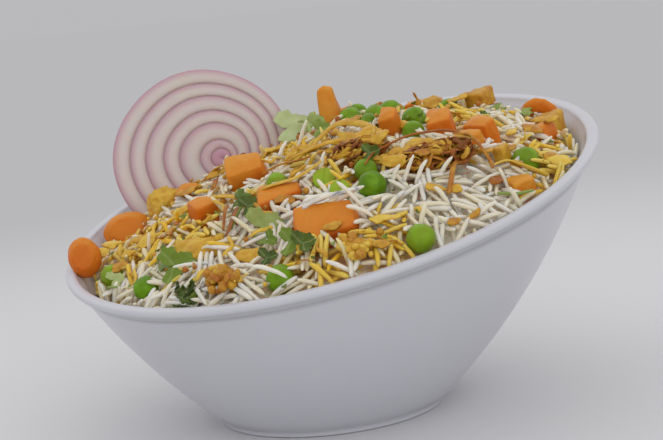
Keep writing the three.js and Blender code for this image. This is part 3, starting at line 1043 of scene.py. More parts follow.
class RiceLayer:
    """Drops grains one by one onto the bed."""

    def __init__(self, form, heap, bed, rng):
        self.form, self.heap, self.bed, self.rng = form, heap, bed, rng
        self.slack = 0.8 * MM
        sizes = heap.sizes
        self.shapes = [self.new_shape(sizes, i) for i in range(14)]
        self.white, self.saffron = [], []

    def new_shape(self, sizes, index):
        """A grain's mesh, with its length and width."""
        rng = self.rng
        size = sizes.grain_length * rng.uniform(0.72, 1.22)
        width = sizes.grain_width * rng.uniform(0.88, 1.1)
        bend = rng.uniform(0.1, 1.1) * MM
        return grain_shape(f"grain_{index}", size, width, bend, index), size, width

    def lowest_of(self, tries):
        """A free place where the rice still has most room to grow."""
        best, best_room = None, 0.0
        limit = self.heap.sizes.radius - 2.2 * MM
        for _ in range(tries):
            reach = limit * math.sqrt(self.rng.random())
            angle = self.rng.uniform(0, math.tau)
            x, y = reach * math.cos(angle), reach * math.sin(angle)
            spot = self.bed.index(x, y)
            height = self.bed.height[spot]
            room = self.heap.room_over(x, y) - height
            if self.bed.taken[spot] or room < best_room:
                continue
            if self.form.room_to_wall(Vector((x, y, height))) > self.least_room(height):
                best, best_room = (x, y), room
        return best

    @staticmethod
    def least_room(height):
        """How near the wall a grain may lie: over the lip's inner edge where the heap is level with it."""
        return 0.4 * MM if height < -2.6 * MM else -0.5 * MM

    def ends_room(self, x, y, centre, turn, half, pitch):
        """The least room that a grain's ends have to the wall."""
        flat = half * math.cos(pitch)
        along = Vector((flat * math.cos(turn), flat * math.sin(turn), half * math.sin(pitch)))
        middle = Vector((x, y, centre))
        return min(self.form.room_to_wall(middle + along), self.form.room_to_wall(middle - along))

    def drop(self, tries, sink, lift_chance):
        """Lays one grain. Says whether it found a place."""
        rng, bed = self.rng, self.bed
        place = self.lowest_of(tries)
        if place is None:
            return False
        x, y = place
        shape, size, width = rng.choice(self.shapes)
        half = size * 0.46
        turn = rng.uniform(0, math.tau)
        height = bed.height[bed.index(x, y)]
        if self.ends_room(x, y, height, turn, half, 0.0) < self.least_room(height):
            turn = math.atan2(y, x) + math.pi / 2 + rng.uniform(-0.25, 0.25)
        centre, pitch, on_topping = bed.rest(x, y, turn, half, width, sink)
        if on_topping > MOST_ON_TOPPING or abs(pitch) > STEEPEST_GRAIN:
            return False
        if centre + width / 2 > self.heap.room_over(x, y) + self.slack * rng.random():
            return False
        if rng.random() < lift_chance:
            extra = math.radians(rng.uniform(6, 38))
            pitch += extra * rng.choice((-1, 1))
            centre += half * math.sin(extra) * 0.3
        if self.ends_room(x, y, centre, turn, half, pitch) < self.least_room(centre) - 0.1 * MM:
            return False
        bed.lay(x, y, turn, half, width, centre, pitch)
        lying = stick_matrix(self.form, (x, y, centre), turn, pitch)
        matrix = lying @ Matrix.Rotation(rng.uniform(-0.9, 0.9), 4, "X")
        strength = saffron_at(x, y)
        tint = held(rng.gauss(0.35, 0.25))
        if rng.random() < strength * self.heap.sizes.saffron_share:
            self.saffron.append((shape, matrix, tint))
        else:
            self.white.append((shape, matrix, min(tint * 0.7 + 0.9 * strength * rng.random(), 1)))
        return True


def laid_bed(form, heap):
    """The core with every topping of the frame standing on it."""
    bed = Bed(heap.sizes.radius + 8 * MM, 0.6 * MM)
    depth = heap.sizes.core_depth
    bed.fill(lambda x, y: heap.height(x, y) - depth)
    for name, node in NODES.items():
        if name not in ("bowl", "rice", "golden_floret", "dark_floret"):
            bed.stand(node, form.rim, heap)
    return bed


# The bed as the rice leaves it, for the tools that lay things on it.
BEDS = {}


class BIRYANI_OT_rice(bpy.types.Operator):
    """Lays the rice, grain by grain, over its core"""

    bl_idname = "biryani.rice"
    bl_label = "Rice"

    def execute(self, context):
        settings = context.scene.biryani
        sizes = settings.heap
        form, heap = BowlForm(settings.bowl), HeapForm(sizes)
        bed = laid_bed(form, heap)
        BEDS["top"] = bed
        build_core(form, heap)
        layer = RiceLayer(form, heap, bed, random.Random(11))
        misses = 0
        while len(layer.white) < sizes.white_grains and misses < MOST_MISSES:
            laid = layer.drop(tries=5, sink=0.45 * MM, lift_chance=0.18)
            misses = 0 if laid else misses + 1
        for x, y, height, turn, pitch in PROUD_GRAINS:
            place = (x * MM, y * MM, height * MM)
            matrix = stick_matrix(form, place, math.radians(turn), math.radians(pitch))
            layer.white.append((layer.shapes[len(layer.white) % 5][0], matrix, 0.15))
        white, saffron = sizes.white, sizes.saffron
        plain = rice_finish("white_rice", tinted(white, 1.04), (0.84, 0.66, 0.33), (0.84, 0.76, 0.60))
        stained = rice_finish("saffron_rice", saffron, (0.86, 0.64, 0.17), (0.86, 0.72, 0.30))
        placed(joined("grains_white", layer.white, ["along"]), "rice_grains_white", plain, "rice")
        placed(joined("grains_saffron", layer.saffron, ["along"]), "rice_grains_saffron", stained, "rice")
        return {"FINISHED"}


# ---- Peas -----------------------------------------------------------------------------------


def node_middle(name):
    """Middle and size of a node, along the frame's own axes."""
    low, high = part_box(name)
    return (low + high) / 2, high - low


def nodes_like(stem):
    return sorted(name for name in NODES if name.startswith(stem))


def pea_shape(name, seed, split):
    """One cooked pea a unit across: dimpled, with a scar, or split to its flat seed face."""
    bm = bmesh.new()
    bmesh.ops.create_icosphere(bm, subdivisions=4, radius=0.5)
    for vert in bm.verts:
        out = vert.co.normalized()
        crease = abs(lumps(out, 0.45, seed + 9))
        dimple = 0.035 * lumps(out, 0.8, seed) + 0.012 * lumps(out, 0.3, seed) + 0.05 * min(crease, 0.22)
        scar = -0.035 * math.exp(-((out.x - 0.95) ** 2 + out.y**2 + out.z**2) / 0.03)
        vert.co += out * (dimple + scar)
        if split and vert.co.z > 0.12:
            vert.co.z = 0.12 + 0.12 * (vert.co.z - 0.12) - 0.1 * math.exp(-vert.co.x**2 / 0.002)
    keep(bm, "scar", lambda co: math.exp(-((co.x - 0.46) ** 2 + co.y**2 + co.z**2) / 0.008))
    return to_shape(bm, name)


def pea_finish(rgb):
    finish = Finish(
        "cooked_pea", roughness=0.34, Specular_IOR_Level=0.3, IOR=1.4,
        Subsurface_Weight=0.15, Subsurface_Scale=0.0015,
    )
    tint = finish.kept("tint")
    mottle = finish.noise(260.0, 3.0)
    deep = finish.mix(tint, tinted(rgb, 0.62), (0.36, 0.46, 0.03))
    skin = finish.mix(mottle.between(0.35, 0.75) * 0.5, deep, tinted(rgb, 1.5))
    finish.set("Base Color", finish.mix(finish.kept("scar") * 0.5, skin, (0.55, 0.58, 0.22)))
    finish.set("Roughness", mottle * 0.25 + 0.22)
    finish.bump(finish.noise(500.0, 2.0), 0.0002, 0.5)
    return finish.material


# Which peas have split, counted from 0.
SPLIT_PEAS = (13, 14)


class BIRYANI_OT_peas(bpy.types.Operator):
    """Sets the cooked peas where the frame holds them"""

    bl_idname = "biryani.peas"
    bl_label = "Peas"

    def execute(self, context):
        rng = random.Random(5)
        names = nodes_like("pea_")
        whole = [pea_shape(f"pea_whole_{i}", i * 3.1, False) for i in range(5)]
        halves = [pea_shape(f"pea_split_{i}", i * 2.3, True) for i in range(2)]
        rows = []
        for index, name in enumerate(names):
            middle, size = node_middle(name)
            turn, lean = rng.uniform(0, math.tau), rng.uniform(-1, 1)
            split = index in SPLIT_PEAS
            shape = halves[index % 2] if split else rng.choice(whole)
            if split:
                turn, lean = math.radians(35), math.radians(50)
            scale = Matrix.Scale(max(size), 4)
            tint = 0.9 if split else rng.uniform(0, 0.55)
            rows.append((shape, Matrix.Translation(middle) @ turn_and_lean(turn, lean) @ scale, tint))
        finish = pea_finish(context.scene.biryani.topping.pea)
        placed(joined("peas", rows, ["scar"]), "peas_cooked", finish, "pea", *names)
        return {"FINISHED"}


# ---- Carrots --------------------------------------------------------------------------------


def carved(name, seed, soften, rough, cuts=2):
    """A soft-edged copy of a node's solid, with an uneven surface."""
    bm = bmesh.new()
    bm.from_mesh(NODES[name].data)
    bmesh.ops.remove_doubles(bm, verts=bm.verts, dist=1e-6)
    bmesh.ops.dissolve_limit(bm, angle_limit=math.radians(4), verts=bm.verts, edges=bm.edges)
    sharp = [edge for edge in bm.edges if edge.calc_face_angle(0) > math.radians(25)]
    bmesh.ops.bevel(
        bm, geom=sharp, offset=soften, segments=3, profile=0.5, affect="EDGES", material=-1,
        clamp_overlap=True,
    )
    bmesh.ops.triangulate(bm, faces=bm.faces)
    for _ in range(cuts):
        long = [edge for edge in bm.edges if edge.calc_length() > 0.9 * MM]
        bmesh.ops.subdivide_edges(bm, edges=long, cuts=1, use_grid_fill=True)
        bmesh.ops.triangulate(bm, faces=bm.faces)
    for _ in range(9 if "coin" in name else 1):
        bmesh.ops.smooth_vert(
            bm, verts=bm.verts, factor=0.5, use_axis_x=True, use_axis_y=True, use_axis_z=True
        )
    bm.normal_update()
    # Painted light: the points that face up are marked so that the carrot's tops can be painted lighter.
    upper = bm.verts.layers.float.new("upper")
    for vert in bm.verts:
        swell = lumps(vert.co, 4 * MM, seed) + 0.4 * lumps(vert.co, 1.3 * MM, seed)
        vert.co += vert.normal * swell * rough
        vert[upper] = max(vert.normal.z, 0) ** 1.5
    bmesh.ops.recalc_face_normals(bm, faces=bm.faces)
    return bm


def merged(parts, tints):
    """Several bmeshes as one, each with its own tint."""
    whole = bmesh.new()
    whole.verts.layers.float.new("tint")
    whole.verts.layers.float.new("upper")
    for part, tint in zip(parts, tints):
        keep(part, "tint", lambda co, tint=tint: tint)
        absorb(whole, part)
    return whole


def carrot_finish(rgb):
    finish = Finish(
        "cooked_carrot", roughness=0.35, Specular_IOR_Level=0.25, IOR=1.38,
        Subsurface_Weight=0.15, Subsurface_Scale=0.002,
    )
    tint = finish.kept("tint")
    patch = finish.noise(110.0, 3.0)
    base = finish.mix(tint, rgb, (0.72, 0.30, 0.03))
    mottled = finish.mix(patch.between(0.35, 0.7), base, (0.72, 0.20, 0.016))
    # Painted light: the tops are painted a lighter orange, as if lit from above.
    flesh = finish.mix(finish.kept("upper") * (patch * 0.6 + 0.4), mottled, (0.75, 0.34, 0.045))
    pore = finish.noise(600.0, 2.0).between(0.55, 0.8) * 0.3
    finish.set("Base Color", finish.mix(pore, flesh, (0.62, 0.16, 0.02)))
    finish.set("Roughness", patch * 0.3 + 0.22)
    finish.bump(finish.noise(420.0, 4.0, 0.6), 0.0005, 0.6)
    return finish.material


# The direction, in the rim's plane, that pieces are stretched along first.
RIGHT = Vector((0.788, 0.616, 0))
# Move in millimetres, stretch along and across that direction and upward, and taper.
SHIFTS = {
    "carrot_coin_01": ((-3.2, -2.4, 2.2), (0.86, 1.0, 1.08)),
    "carrot_coin_02": ((-0.6, -0.4, 0.4), (1.22, 1.0, 0.88)),
    "carrot_02": ((3.7, 2.9, -0.6), (0.75, 0.9, 1.1)),
    "carrot_03": ((-1.7, -1.4, -0.3), (0.76, 0.9, 1.05)),
    "carrot_04": ((-3.2, -2.5, 0.3), (0.78, 1.0, 1.05)),
    "carrot_08": ((0, 0, 1.8), (1, 1, 1)),
    "carrot_07": ((0, 0, 1.5), (1, 1, 1)),
    "carrot_wedge": ((0.4, 0.3, 0.2), (1.3, 1, 1.2), 0.4),
    "carrot_arch": ((8.5, -4.0, 1.2), (1.2, 1.0, 1.35)),
}


def shifted(form, bm, move, stretch, taper=0.0):
    """Moves a piece by the rim's plane, stretches it about its middle and tapers it upward."""
    middle = sum((vert.co for vert in bm.verts), Vector()) / len(bm.verts)
    turned = form.rim.to_3x3() @ Matrix((RIGHT, UP.cross(RIGHT), UP)).transposed()
    scale = turned.to_4x4() @ Matrix.Diagonal((*stretch, 1)) @ turned.transposed().to_4x4()
    place = Matrix.Translation(middle + form.rim.to_3x3() @ (Vector(move) * MM))
    bmesh.ops.transform(bm, matrix=place @ scale @ Matrix.Translation(-middle), verts=bm.verts)
    heights = [vert.co.z for vert in bm.verts]
    low, high = min(heights), max(heights)
    axis = form.rim.to_3x3() @ RIGHT
    for vert in bm.verts:
        share = (vert.co.z - low) / (high - low)
        vert.co -= axis * ((vert.co - place.translation).dot(axis) * taper * share)


YELLOWISH_CARROTS = ("carrot_05", "carrot_06", "carrot_10", "carrot_wedge")


class BIRYANI_OT_carrots(bpy.types.Operator):
    """Dices the carrots where the frame holds them"""

    bl_idname = "biryani.carrots"
    bl_label = "Carrots"

    def execute(self, context):
        rng = random.Random(8)
        names = nodes_like("carrot_")
        parts = [carved(name, index * 1.9, 0.7 * MM, 0.36 * MM) for index, name in enumerate(names)]
        form = BowlForm(context.scene.biryani.bowl)
        for name, part in zip(names, parts):
            if name in SHIFTS:
                shifted(form, part, *SHIFTS[name])
        tints = [1.0 if name in YELLOWISH_CARROTS else rng.uniform(0, 0.45) for name in names]
        finish = carrot_finish(context.scene.biryani.topping.carrot)
        finished(merged(parts, tints), "carrots_diced", finish, "carrot", *names)
        return {"FINISHED"}


# ---- The slice of red onion -----------------------------------------------------------------


def onion_finish(flesh, skin):
    finish = Finish(
        "red_onion", roughness=0.35, Coat_Weight=0.15, Coat_Roughness=0.25,
        Subsurface_Weight=0.25, Subsurface_Scale=0.002,
    )
    line = finish.kept("skin")
    blush = finish.kept("blush")
    patch = finish.noise(60.0, 3.0)
    cream = finish.mix(patch.between(0.5, 0.7) * 0.5, flesh, (0.75, 0.72, 0.60))
    mauve = finish.mix(blush, cream, (0.60, 0.33, 0.43))
    finish.set("Base Color", finish.mix(line, mauve, skin))
    finish.set("Roughness", patch * 0.25 + 0.25)
    finish.bump(finish.noise(300.0, 3.0), 0.0004, 0.5)
    return finish.material


def onion_ring(whole, outer, inner, shift, next_shift, thickness):
    """Adds one ring of the slice, lying flat: a rounded band spun round its own middle."""
    half = thickness / 2
    soft = 0.14 * MM
    steps = 5
    section = [(outer, -half + soft), (outer, half - soft)]
    for i in range(1, steps):
        share = i / steps
        crown = 0.25 * MM * math.sin(math.pi * share)
        section.append((outer + (inner - outer) * share, half + crown - 0.1 * MM))
    section += [(inner, half - soft), (inner, -half + soft)]
    for i in range(1, steps):
        share = 1 - i / steps
        section.append((outer + (inner - outer) * share, -half - 0.1 * MM * math.sin(math.pi * share)))
    bm = spun(section, 96, closed=True)
    width = outer - inner

    def depth_at(co):
        return (outer - math.hypot(co.x, co.y)) / width

    def skin_at(co):
        depth = depth_at(co)
        return max(0.9 * math.exp(-((depth / 0.22) ** 2)), 0.5 * math.exp(-(((1 - depth) / 0.2) ** 2)))

    keep(bm, "skin", skin_at)
    heart = math.exp(-((outer / (6.5 * MM)) ** 4) * 0.7)

    def blush_at(co):
        return max(0.55 * max(1 - depth_at(co), 0) ** 2, heart * 1.35)

    keep(bm, "blush", blush_at)
    for vert in bm.verts:
        angle = math.atan2(vert.co.y, vert.co.x)
        stretch = 1 + 0.012 * math.sin(2 * angle + 0.4) + 0.006 * math.sin(5 * angle)
        depth = depth_at(vert.co)
        vert.co.x = vert.co.x * stretch + shift[0] + (next_shift[0] - shift[0]) * depth
        vert.co.y = vert.co.y * stretch * 0.965 + shift[1] + (next_shift[1] - shift[1]) * depth
    bmesh.ops.recalc_face_normals(bm, faces=bm.faces)
    absorb(whole, bm)


# Where one ring of the slice ends and the next begins, and its pink heart's place, in millimetres.
RING_RADII = (33.2, 28.1, 23.4, 18.0, 13.3, 7.0, 3.7, 0.2)
HEART_PLACE = (7.3, -2.6)


class BIRYANI_OT_onion(bpy.types.Operator):
    """Cuts the standing slice of red onion ring by ring"""

    bl_idname = "biryani.onion"
    bl_label = "Onion slice"

    def execute(self, context):
        topping = context.scene.biryani.topping
        form = BowlForm(context.scene.biryani.bowl)
        bm = bmesh.new()
        bm.verts.layers.float.new("skin")
        bm.verts.layers.float.new("blush")
        thickness = 4.6 * MM
        radii = [part * MM for part in RING_RADII]
        heart = [part * MM for part in HEART_PLACE]
        shares = [1 - radius / radii[0] for radius in radii]
        gap = 0.03 * MM
        for ring in range(len(radii) - 1):
            shift, next_shift = ((heart[0] * share, heart[1] * share) for share in shares[ring : ring + 2])
            onion_ring(bm, radii[ring], radii[ring + 1] + gap, shift, next_shift, thickness)
        node = NODES["onion_slice"]
        points = np.array([vert.co for vert in node.data.vertices])
        middle = Vector((points.min(0) + points.max(0)) / 2)
        stand = turn_and_lean(math.radians(43), math.radians(78))
        facing = form.rim.to_3x3().to_4x4() @ stand
        bmesh.ops.transform(bm, matrix=Matrix.Translation(middle) @ facing, verts=bm.verts)
        finish = onion_finish(topping.onion_flesh, topping.onion_skin)
        finished(bm, "onion_rings", finish, "onion", "onion_slice")
        return {"FINISHED"}


# ---- Fried onion and other golden pieces ----------------------------------------------------


PALE_CRUST = (0.82, 0.58, 0.085)


def fried_finish(name, topping):
    finish = Finish(
        name, roughness=0.45, Coat_Weight=0.08, Coat_Roughness=0.25, IOR=1.36,
        Subsurface_Weight=0.12, Subsurface_Scale=0.0012,
    )
    patch = finish.noise(330.0, 3.0)
    shade = finish.kept("tint") + (patch - 0.5) * 0.7
    browned, golden = topping.browned, topping.golden
    stops = [(0.05, tinted(browned, 0.55)), (0.35, browned), (0.68, golden), (1.0, PALE_CRUST)]
    ramp = finish.node("ShaderNodeValToRGB", {"stops": stops}, {0: shade}, "Color")
    finish.set("Base Color", ramp)
    finish.set("Roughness", patch * 0.3 + 0.3)
    finish.bump(finish.noise(800.0, 3.0), 0.0004, 0.6)
    return finish.material


def tangle_path(rng, reach, steps, stride):
    """A wandering path that keeps near the skin of an ellipsoid."""
    outward = Vector((rng.gauss(0, 1), rng.gauss(0, 1), rng.gauss(0.35, 0.8))).normalized()
    place = Vector(a * b for a, b in zip(outward, reach)) * rng.uniform(0.55, 1.0)
    heading = Vector((rng.gauss(0, 1.4), rng.gauss(0, 0.8), rng.gauss(0, 0.6))).normalized()
    points = []
    for _ in range(steps):
        points.append(place.copy())
        swerve = Vector((rng.gauss(0, 1), rng.gauss(0, 1), rng.gauss(0, 1))) * 0.45
        heading = (heading + swerve).normalized()
        place = place + heading * stride
        depth = Vector(a / b for a, b in zip(place, reach)).length
        if depth > 1.0:
            place /= depth
            heading = (heading - place.normalized() * 0.7).normalized()
    return eased(points, 2)


# Node, strands, darkest and lightest tint, a strand's width in millimetres, turn in degrees, and the
# share of the node's length, width and height that the strands reach to.
BUNDLES = [
    ("fried_onion_bundle_01", 150, 0.0, 0.9, 2.0, 40, (0.56, 0.3, 0.52)),
    ("fried_onion_bundle_02", 100, 0.0, 0.95, 2.0, 40, (0.56, 0.3, 0.52)),
    ("fried_onion_bundle_03", 70, 0.35, 0.95, 1.6, 100, (0.45, 0.45, 0.45)),
]


def bundle_rows(form, rng, name, strands, darkest, lightest, width, turn, shares):
    """The strands of one tangled bundle of fried onion."""
    middle, size = rim_box(form, name)
    spread = Matrix.Rotation(-math.radians(turn), 3, "Z")
    reach = Vector([side * share for side, share in zip(size, shares)])
    stand = form.rim @ Matrix.Translation(middle) @ spread.inverted().to_4x4()
    rows = []
    for index in range(strands):
        steps = rng.randint(6, 15)
        path = tangle_path(rng, reach, steps, rng.uniform(0.9, 1.5) * MM)
        flat = strand_shape(
            f"{name}_{index}", path, width * MM * rng.uniform(0.5, 1.3), rng.uniform(0.35, 0.75) * MM,
            twist=rng.uniform(-2, 2),
        )
        high = sum(point.z for point in path) / len(path) / reach.z
        tint = darkest + (lightest - darkest) * rng.random() ** 1.2 - 0.12 * high
        rows.append((flat, stand, held(tint)))
    return rows


# Places in the rim's plane with their lift over the rice, width, all in millimetres, and tint.
SINGLE_STRANDS = [
    (
        [(-20, -42, 0.6), (-11, -41, 1.6), (0, -40.5, 2.2), (9, -38, 2.4), (17, -32, 2.4), (22, -24, 2)],
        3.2, 0.74,
    ),
    ([(64, -9, 4), (66, -14, 3.2), (68, -19, 2.0), (69, -23, 0.8)], 2.0, 0.5),
    ([(-4, -14, 1), (2, -16, 2.6), (10, -13, 3.0), (19, -8, 2.6), (24, -4, 1.6)], 2.0, 0.66),
    ([(-8, -22, 1), (-1, -20, 2.2), (7, -17, 2.6), (15, -14, 2.0)], 1.5, 0.45),
    ([(4, -9, 1), (6, -4, 3.0), (12, 0, 4.6), (20, 1, 5.0), (28, -2, 4.0), (34, -9, 1.5)], 3.0, 0.72),
    ([(17, 39, 0), (16.6, 39, 2.4), (16.2, 38.6, 5.0)], 3.4, 0.5),
    ([(71, 0, 1.8), (75, 3, 2.6), (79, 6, 2.6), (84, 10, 1.6)], 3.0, 1.0),
    ([(4, -49, 3.2), (6, -53, 3.0), (8, -58, 1.6), (9, -62, 0.6)], 2.2, 0.2),
    ([(-2, -47, 2.5), (1, -52, 2.8), (3, -57, 1.4)], 1.4, 0.3),
    ([(-44, -16, 1), (-38, -14, 2.6), (-32, -14, 2.6), (-27, -18, 1.4)], 2.4, 0.6),
    ([(-30, -22, 0.6), (-26, -26, 2.0), (-22, -32, 1.6)], 1.8, 0.35),
    (
        [(40, -24, 3), (37.5, -16, 3.4), (37.5, -8, 1.6), (41, -1, 2.6), (47, 3, 4.0), (56, 2.5, 4.2),
         (65, 1, 3)],
        0.9, 0.3,
    ),
    ([(60, -2, 4), (65, 1, 4.4), (70, 1, 3.0), (73, -3, 1.2)], 1.6, 0.42),
]


class BIRYANI_OT_fried_onion(bpy.types.Operator):
    """Tangles the fried onion into its bundles and lays the single strands"""

    bl_idname = "biryani.fried_onion"
    bl_label = "Fried onion"

    def execute(self, context):
        form, bed = BowlForm(context.scene.biryani.bowl), BEDS["top"]
        rng = random.Random(21)
        rows = []
        for bundle in BUNDLES:
            rows += bundle_rows(form, rng, *bundle)
        for index, (places, width, tint) in enumerate(SINGLE_STRANDS):
            path = resampled([bed_point(bed, *place) for place in places], 22)
            shape = strand_shape(f"single_{index}", eased(path, 5), width * MM, 0.7 * MM, rng.uniform(-1, 1))
            rows.append((shape, form.rim, tint))
        rows += self.loose_strands(form, bed, rng)
        nodes = [*nodes_like("fried_onion_bundle"), "fried_onion_strip"]
        finish = fried_finish("fried_onion", context.scene.biryani.topping)
        placed(joined("strands", rows, ["along"]), "fried_onion_strands", finish, "browned", *nodes)
        return {"FINISHED"}

    def loose_strands(self, form, bed, rng):
        """Short curls scattered over the rice."""
        shapes = []
        for index in range(16):
            reach = rng.uniform(4, 11) * MM
            path = curl_path(rng, reach, rng.uniform(0.4, 1.6) * MM)
            width, twist = rng.uniform(0.9, 2.0) * MM, rng.uniform(-2, 2)
            shapes.append((strand_shape(f"loose_{index}", path, width, 0.5 * MM, twist), reach))
        spots = loose_spots(form, bed, rng, 82, 7 * MM)
        rows = []
        while len(rows) < 55:
            x, y = next(spots)
            shape, reach = rng.choice(shapes)
            turn = rng.uniform(0, math.tau)
            centre, pitch, on_topping = bed.rest(x, y, turn, reach * 0.45, 0.6 * MM, 0.1 * MM)
            if on_topping > 0.2 or abs(pitch) > 0.7:
                continue
            tint = held(rng.gauss(0.66, 0.22), 0.1)
            rows.append((shape, stick_matrix(form, (x, y, centre), turn, pitch), tint))
        return rows


# Turn in degrees and length in millimetres of each petal.
PETALS = [(35, 20), (20, 12), (30, 10)]
# Place in the rim's plane and size, in millimetres, and tint.
FLAKES = [
    (64.8, -23.3, 6.5, 0.72), (70, -19.8, 4.2, 0.7), (80, -27, 5, 0.6), (78, -35, 4.5, 0.55),
    (66, -35.5, 2.6, 0.75), (62.8, -39.6, 4.3, 0.9), (76, 6, 6, 0.5), (66, 45, 6, 0.7),
    (81, 20, 8, 0.6), (57, -57, 9, 0.66), (47, -54, 6, 0.62), (65, -55, 5.5, 0.6),
    (-40, -62, 6, 0.7), (-44, -52, 6, 0.6), (-38, -15, 7, 0.6), (37, -16, 6, 0.7),
    (47.5, -18, 9, 0.7), (43, -9, 8, 0.66), (46, -3, 10, 0.72), (60, -2, 9, 0.7), (35, -8, 8, 0.72),
    (68, 13.4, 7, 0.5), (64, 36, 8, 0.55), (81.5, 21, 11, 1.0), (59, -43, 10, 0.95), (-36, -55, 8, 0.9),
    (-50, -59, 8, 0.9), (-41, -27, 9, 0.6), (23, -3, 13, 0.7), (17, -1, 10, 0.72), (29, -6, 9, 0.7),
    (40, -14, 7, 0.75), (55, -13, 6, 0.45), (21, -6, 7, 0.62), (14, -12, 6, 0.6), (67, 3, 7, 0.55),
    (16, 49, 9, 0.6), (26, 50, 8, 0.7), (2, -7, 8, 0.75), (-3, -10, 7, 0.7),
    (-30, -42, 6.5, 0.8), (-52, -42, 5, 0.6), (-22, 4, 7, 0.9), (-30, 8, 6, 0.95),
]


# How far the floret stands off its node, and where the crumbly patch lies, in millimetres.
FLORET_MOVE = (-3.0, -2.2, 1.6)
CRUMBLY_PATCH = (57.7, -57.5)
# Move in millimetres and growth of the golden pieces that differ from their nodes.
GOLDEN_CHANGES = {"golden_bit_01": ((1.5, 1.2, 3.0), 1.05), "golden_bit_03": ((2.0, 1.6, 0), 0.72)}


class BIRYANI_OT_golden(bpy.types.Operator):
    """Fries the petals, flakes, florets and lumps"""

    bl_idname = "biryani.golden"
    bl_label = "Golden pieces"

    def execute(self, context):
        form, bed = BowlForm(context.scene.biryani.bowl), BEDS["top"]
        rng = random.Random(31)
        finish = fried_finish("golden_crust", context.scene.biryani.topping)
        rows = self.petals(form, rng) + self.flakes(form, bed, rng) + self.crumbs(form, bed, rng)
        nodes = nodes_like("fried_onion_petal")
        placed(joined("petals", rows, ["along"]), "golden_petals", finish, "golden", *nodes)
        lumps_of = self.clusters(form, rng)
        nodes = ["golden_floret", "golden_lump", *nodes_like("golden_bit")]
        placed(joined("florets", lumps_of, ["along"]), "golden_florets", finish, "golden", *nodes)
        return {"FINISHED"}

    def petal_shape(self, name, rng, length, width):
        seed = rng.uniform(0, 50)
        arch, droop = rng.uniform(0.2, 0.5), rng.uniform(0.1, 0.5)

        def outline(angle):
            wave = lumps(Vector((math.cos(angle), math.sin(angle), 0)), 0.5, seed)
            return 0.5 * (1 + 0.3 * wave)

        def bend(x, y):
            ruffle = 0.16 * width * lumps(Vector((x, y, 0)), 0.35, seed)
            rise = arch * width * (0.5 - 2 * y * y) - droop * length * x * x
            return Vector((x * length, y * width, rise + ruffle))

        return sheet_shape(name, outline, 0.55 * MM, bend, across=14)

    def petals(self, form, rng):
        rows = []
        for name, (turn, size) in zip(nodes_like("fried_onion_petal"), PETALS):
            middle, _ = rim_box(form, name)
            shape = self.petal_shape(name, rng, size * MM, size * MM * 0.55)
            stand = form.rim @ Matrix.Translation(middle) @ Matrix.Rotation(math.radians(turn), 4, "Z")
            rows.append((shape, stand @ Matrix.Rotation(math.radians(22), 4, "X"), 0.72))
        return rows

    def flakes(self, form, bed, rng):
        rows = []
        for index, (x, y, size, tint) in enumerate(FLAKES):
            shape = self.petal_shape(f"flake_{index}", rng, size * MM, size * rng.uniform(0.5, 0.75) * MM)
            x, y, _ = form.pulled_in(bed_point(bed, x, y, 0), 0.6 * size * MM) / MM
            lean, turn = math.radians(rng.uniform(-8, 30)), math.radians(38 + rng.uniform(-40, 40))
            rows.append((shape, on_bed(form, bed, x * MM, y * MM, 0.9 * MM, turn, lean), tint))
        shapes = [
            self.petal_shape(f"chip_{size}", rng, size * MM, size * 0.6 * MM) for size in (3, 4, 5, 6, 7)
        ]
        spots = loose_spots(form, bed, rng, 80)
        while len(rows) < 80:
            matrix = on_bed(form, bed, *next(spots), 0.5 * MM, rng.uniform(0, 6.28), rng.uniform(-0.6, 0.6))
            rows.append((rng.choice(shapes), matrix, held(rng.gauss(0.68, 0.16), 0.2)))
        return rows

    def crumbs(self, form, bed, rng):
        shapes = [crumb_shape(f"crumb_{i}", i * 2.0, 0.12, 2) for i in range(6)]
        spots = loose_spots(form, bed, rng, 84)
        rows = []
        while len(rows) < 90:
            x, y = next(spots)
            size = rng.uniform(0.8, 2.4) * MM
            matrix = on_bed(form, bed, x, y, 0.2 * size, rng.uniform(0, 6), rng.uniform(0, 6))
            rows.append((rng.choice(shapes), matrix @ Matrix.Scale(size, 4), rng.uniform(0.2, 0.95)))
        return rows

    def clusters(self, form, rng):
        fine = [crumb_shape(f"floret_{i}", i * 3.3, 0.16, 3) for i in range(6)]
        coarse = crumb_shape("lump", 4.0, 0.10, 5)
        chunk = chunk_shape("chunk", 2.0)
        rows = []
        middle, size = rim_box(form, "golden_floret")
        middle += Vector(FLORET_MOVE) * MM
        for _ in range(110):
            out = Vector((rng.gauss(0, 1), rng.gauss(0, 1), rng.gauss(0.2, 1))).normalized()
            spot = middle + Vector(a * b * 0.46 for a, b in zip(out, size)) * rng.uniform(0.5, 1)
            scale = Matrix.Scale(rng.uniform(1.4, 3.3) * MM, 4)
            turn = Matrix.Rotation(rng.uniform(0, 6), 4, out)
            matrix = form.rim @ Matrix.Translation(spot) @ turn @ scale
            rows.append((rng.choice(fine), matrix, rng.uniform(0.36, 0.78)))
        for _ in range(26):
            x, y = CRUMBLY_PATCH[0] + rng.gauss(0, 2.6), CRUMBLY_PATCH[1] + rng.gauss(0, 2.4)
            place = on_bed(form, BEDS["top"], x * MM, y * MM, rng.uniform(0, 1.6) * MM, rng.uniform(0, 6))
            shape, size = rng.choice(fine), rng.uniform(1.4, 3.2) * MM
            rows.append((shape, place @ Matrix.Scale(size, 4), rng.uniform(0.5, 0.95)))
        for name in ("golden_lump", *nodes_like("golden_bit")):
            middle, size = rim_box(form, name)
            if name in GOLDEN_CHANGES:
                move, growth = GOLDEN_CHANGES[name]
                middle, size = middle + Vector(move) * MM, size * growth
            scale = Matrix.Diagonal((*(size * (1.2 if name == "golden_lump" else 1.02)), 1))
            shape = coarse if name == "golden_lump" else chunk
            rows.append((shape, form.rim @ Matrix.Translation(middle) @ scale, rng.uniform(0.58, 0.82)))
        return rows


# ---- Herbs ----------------------------------------------------------------------------------


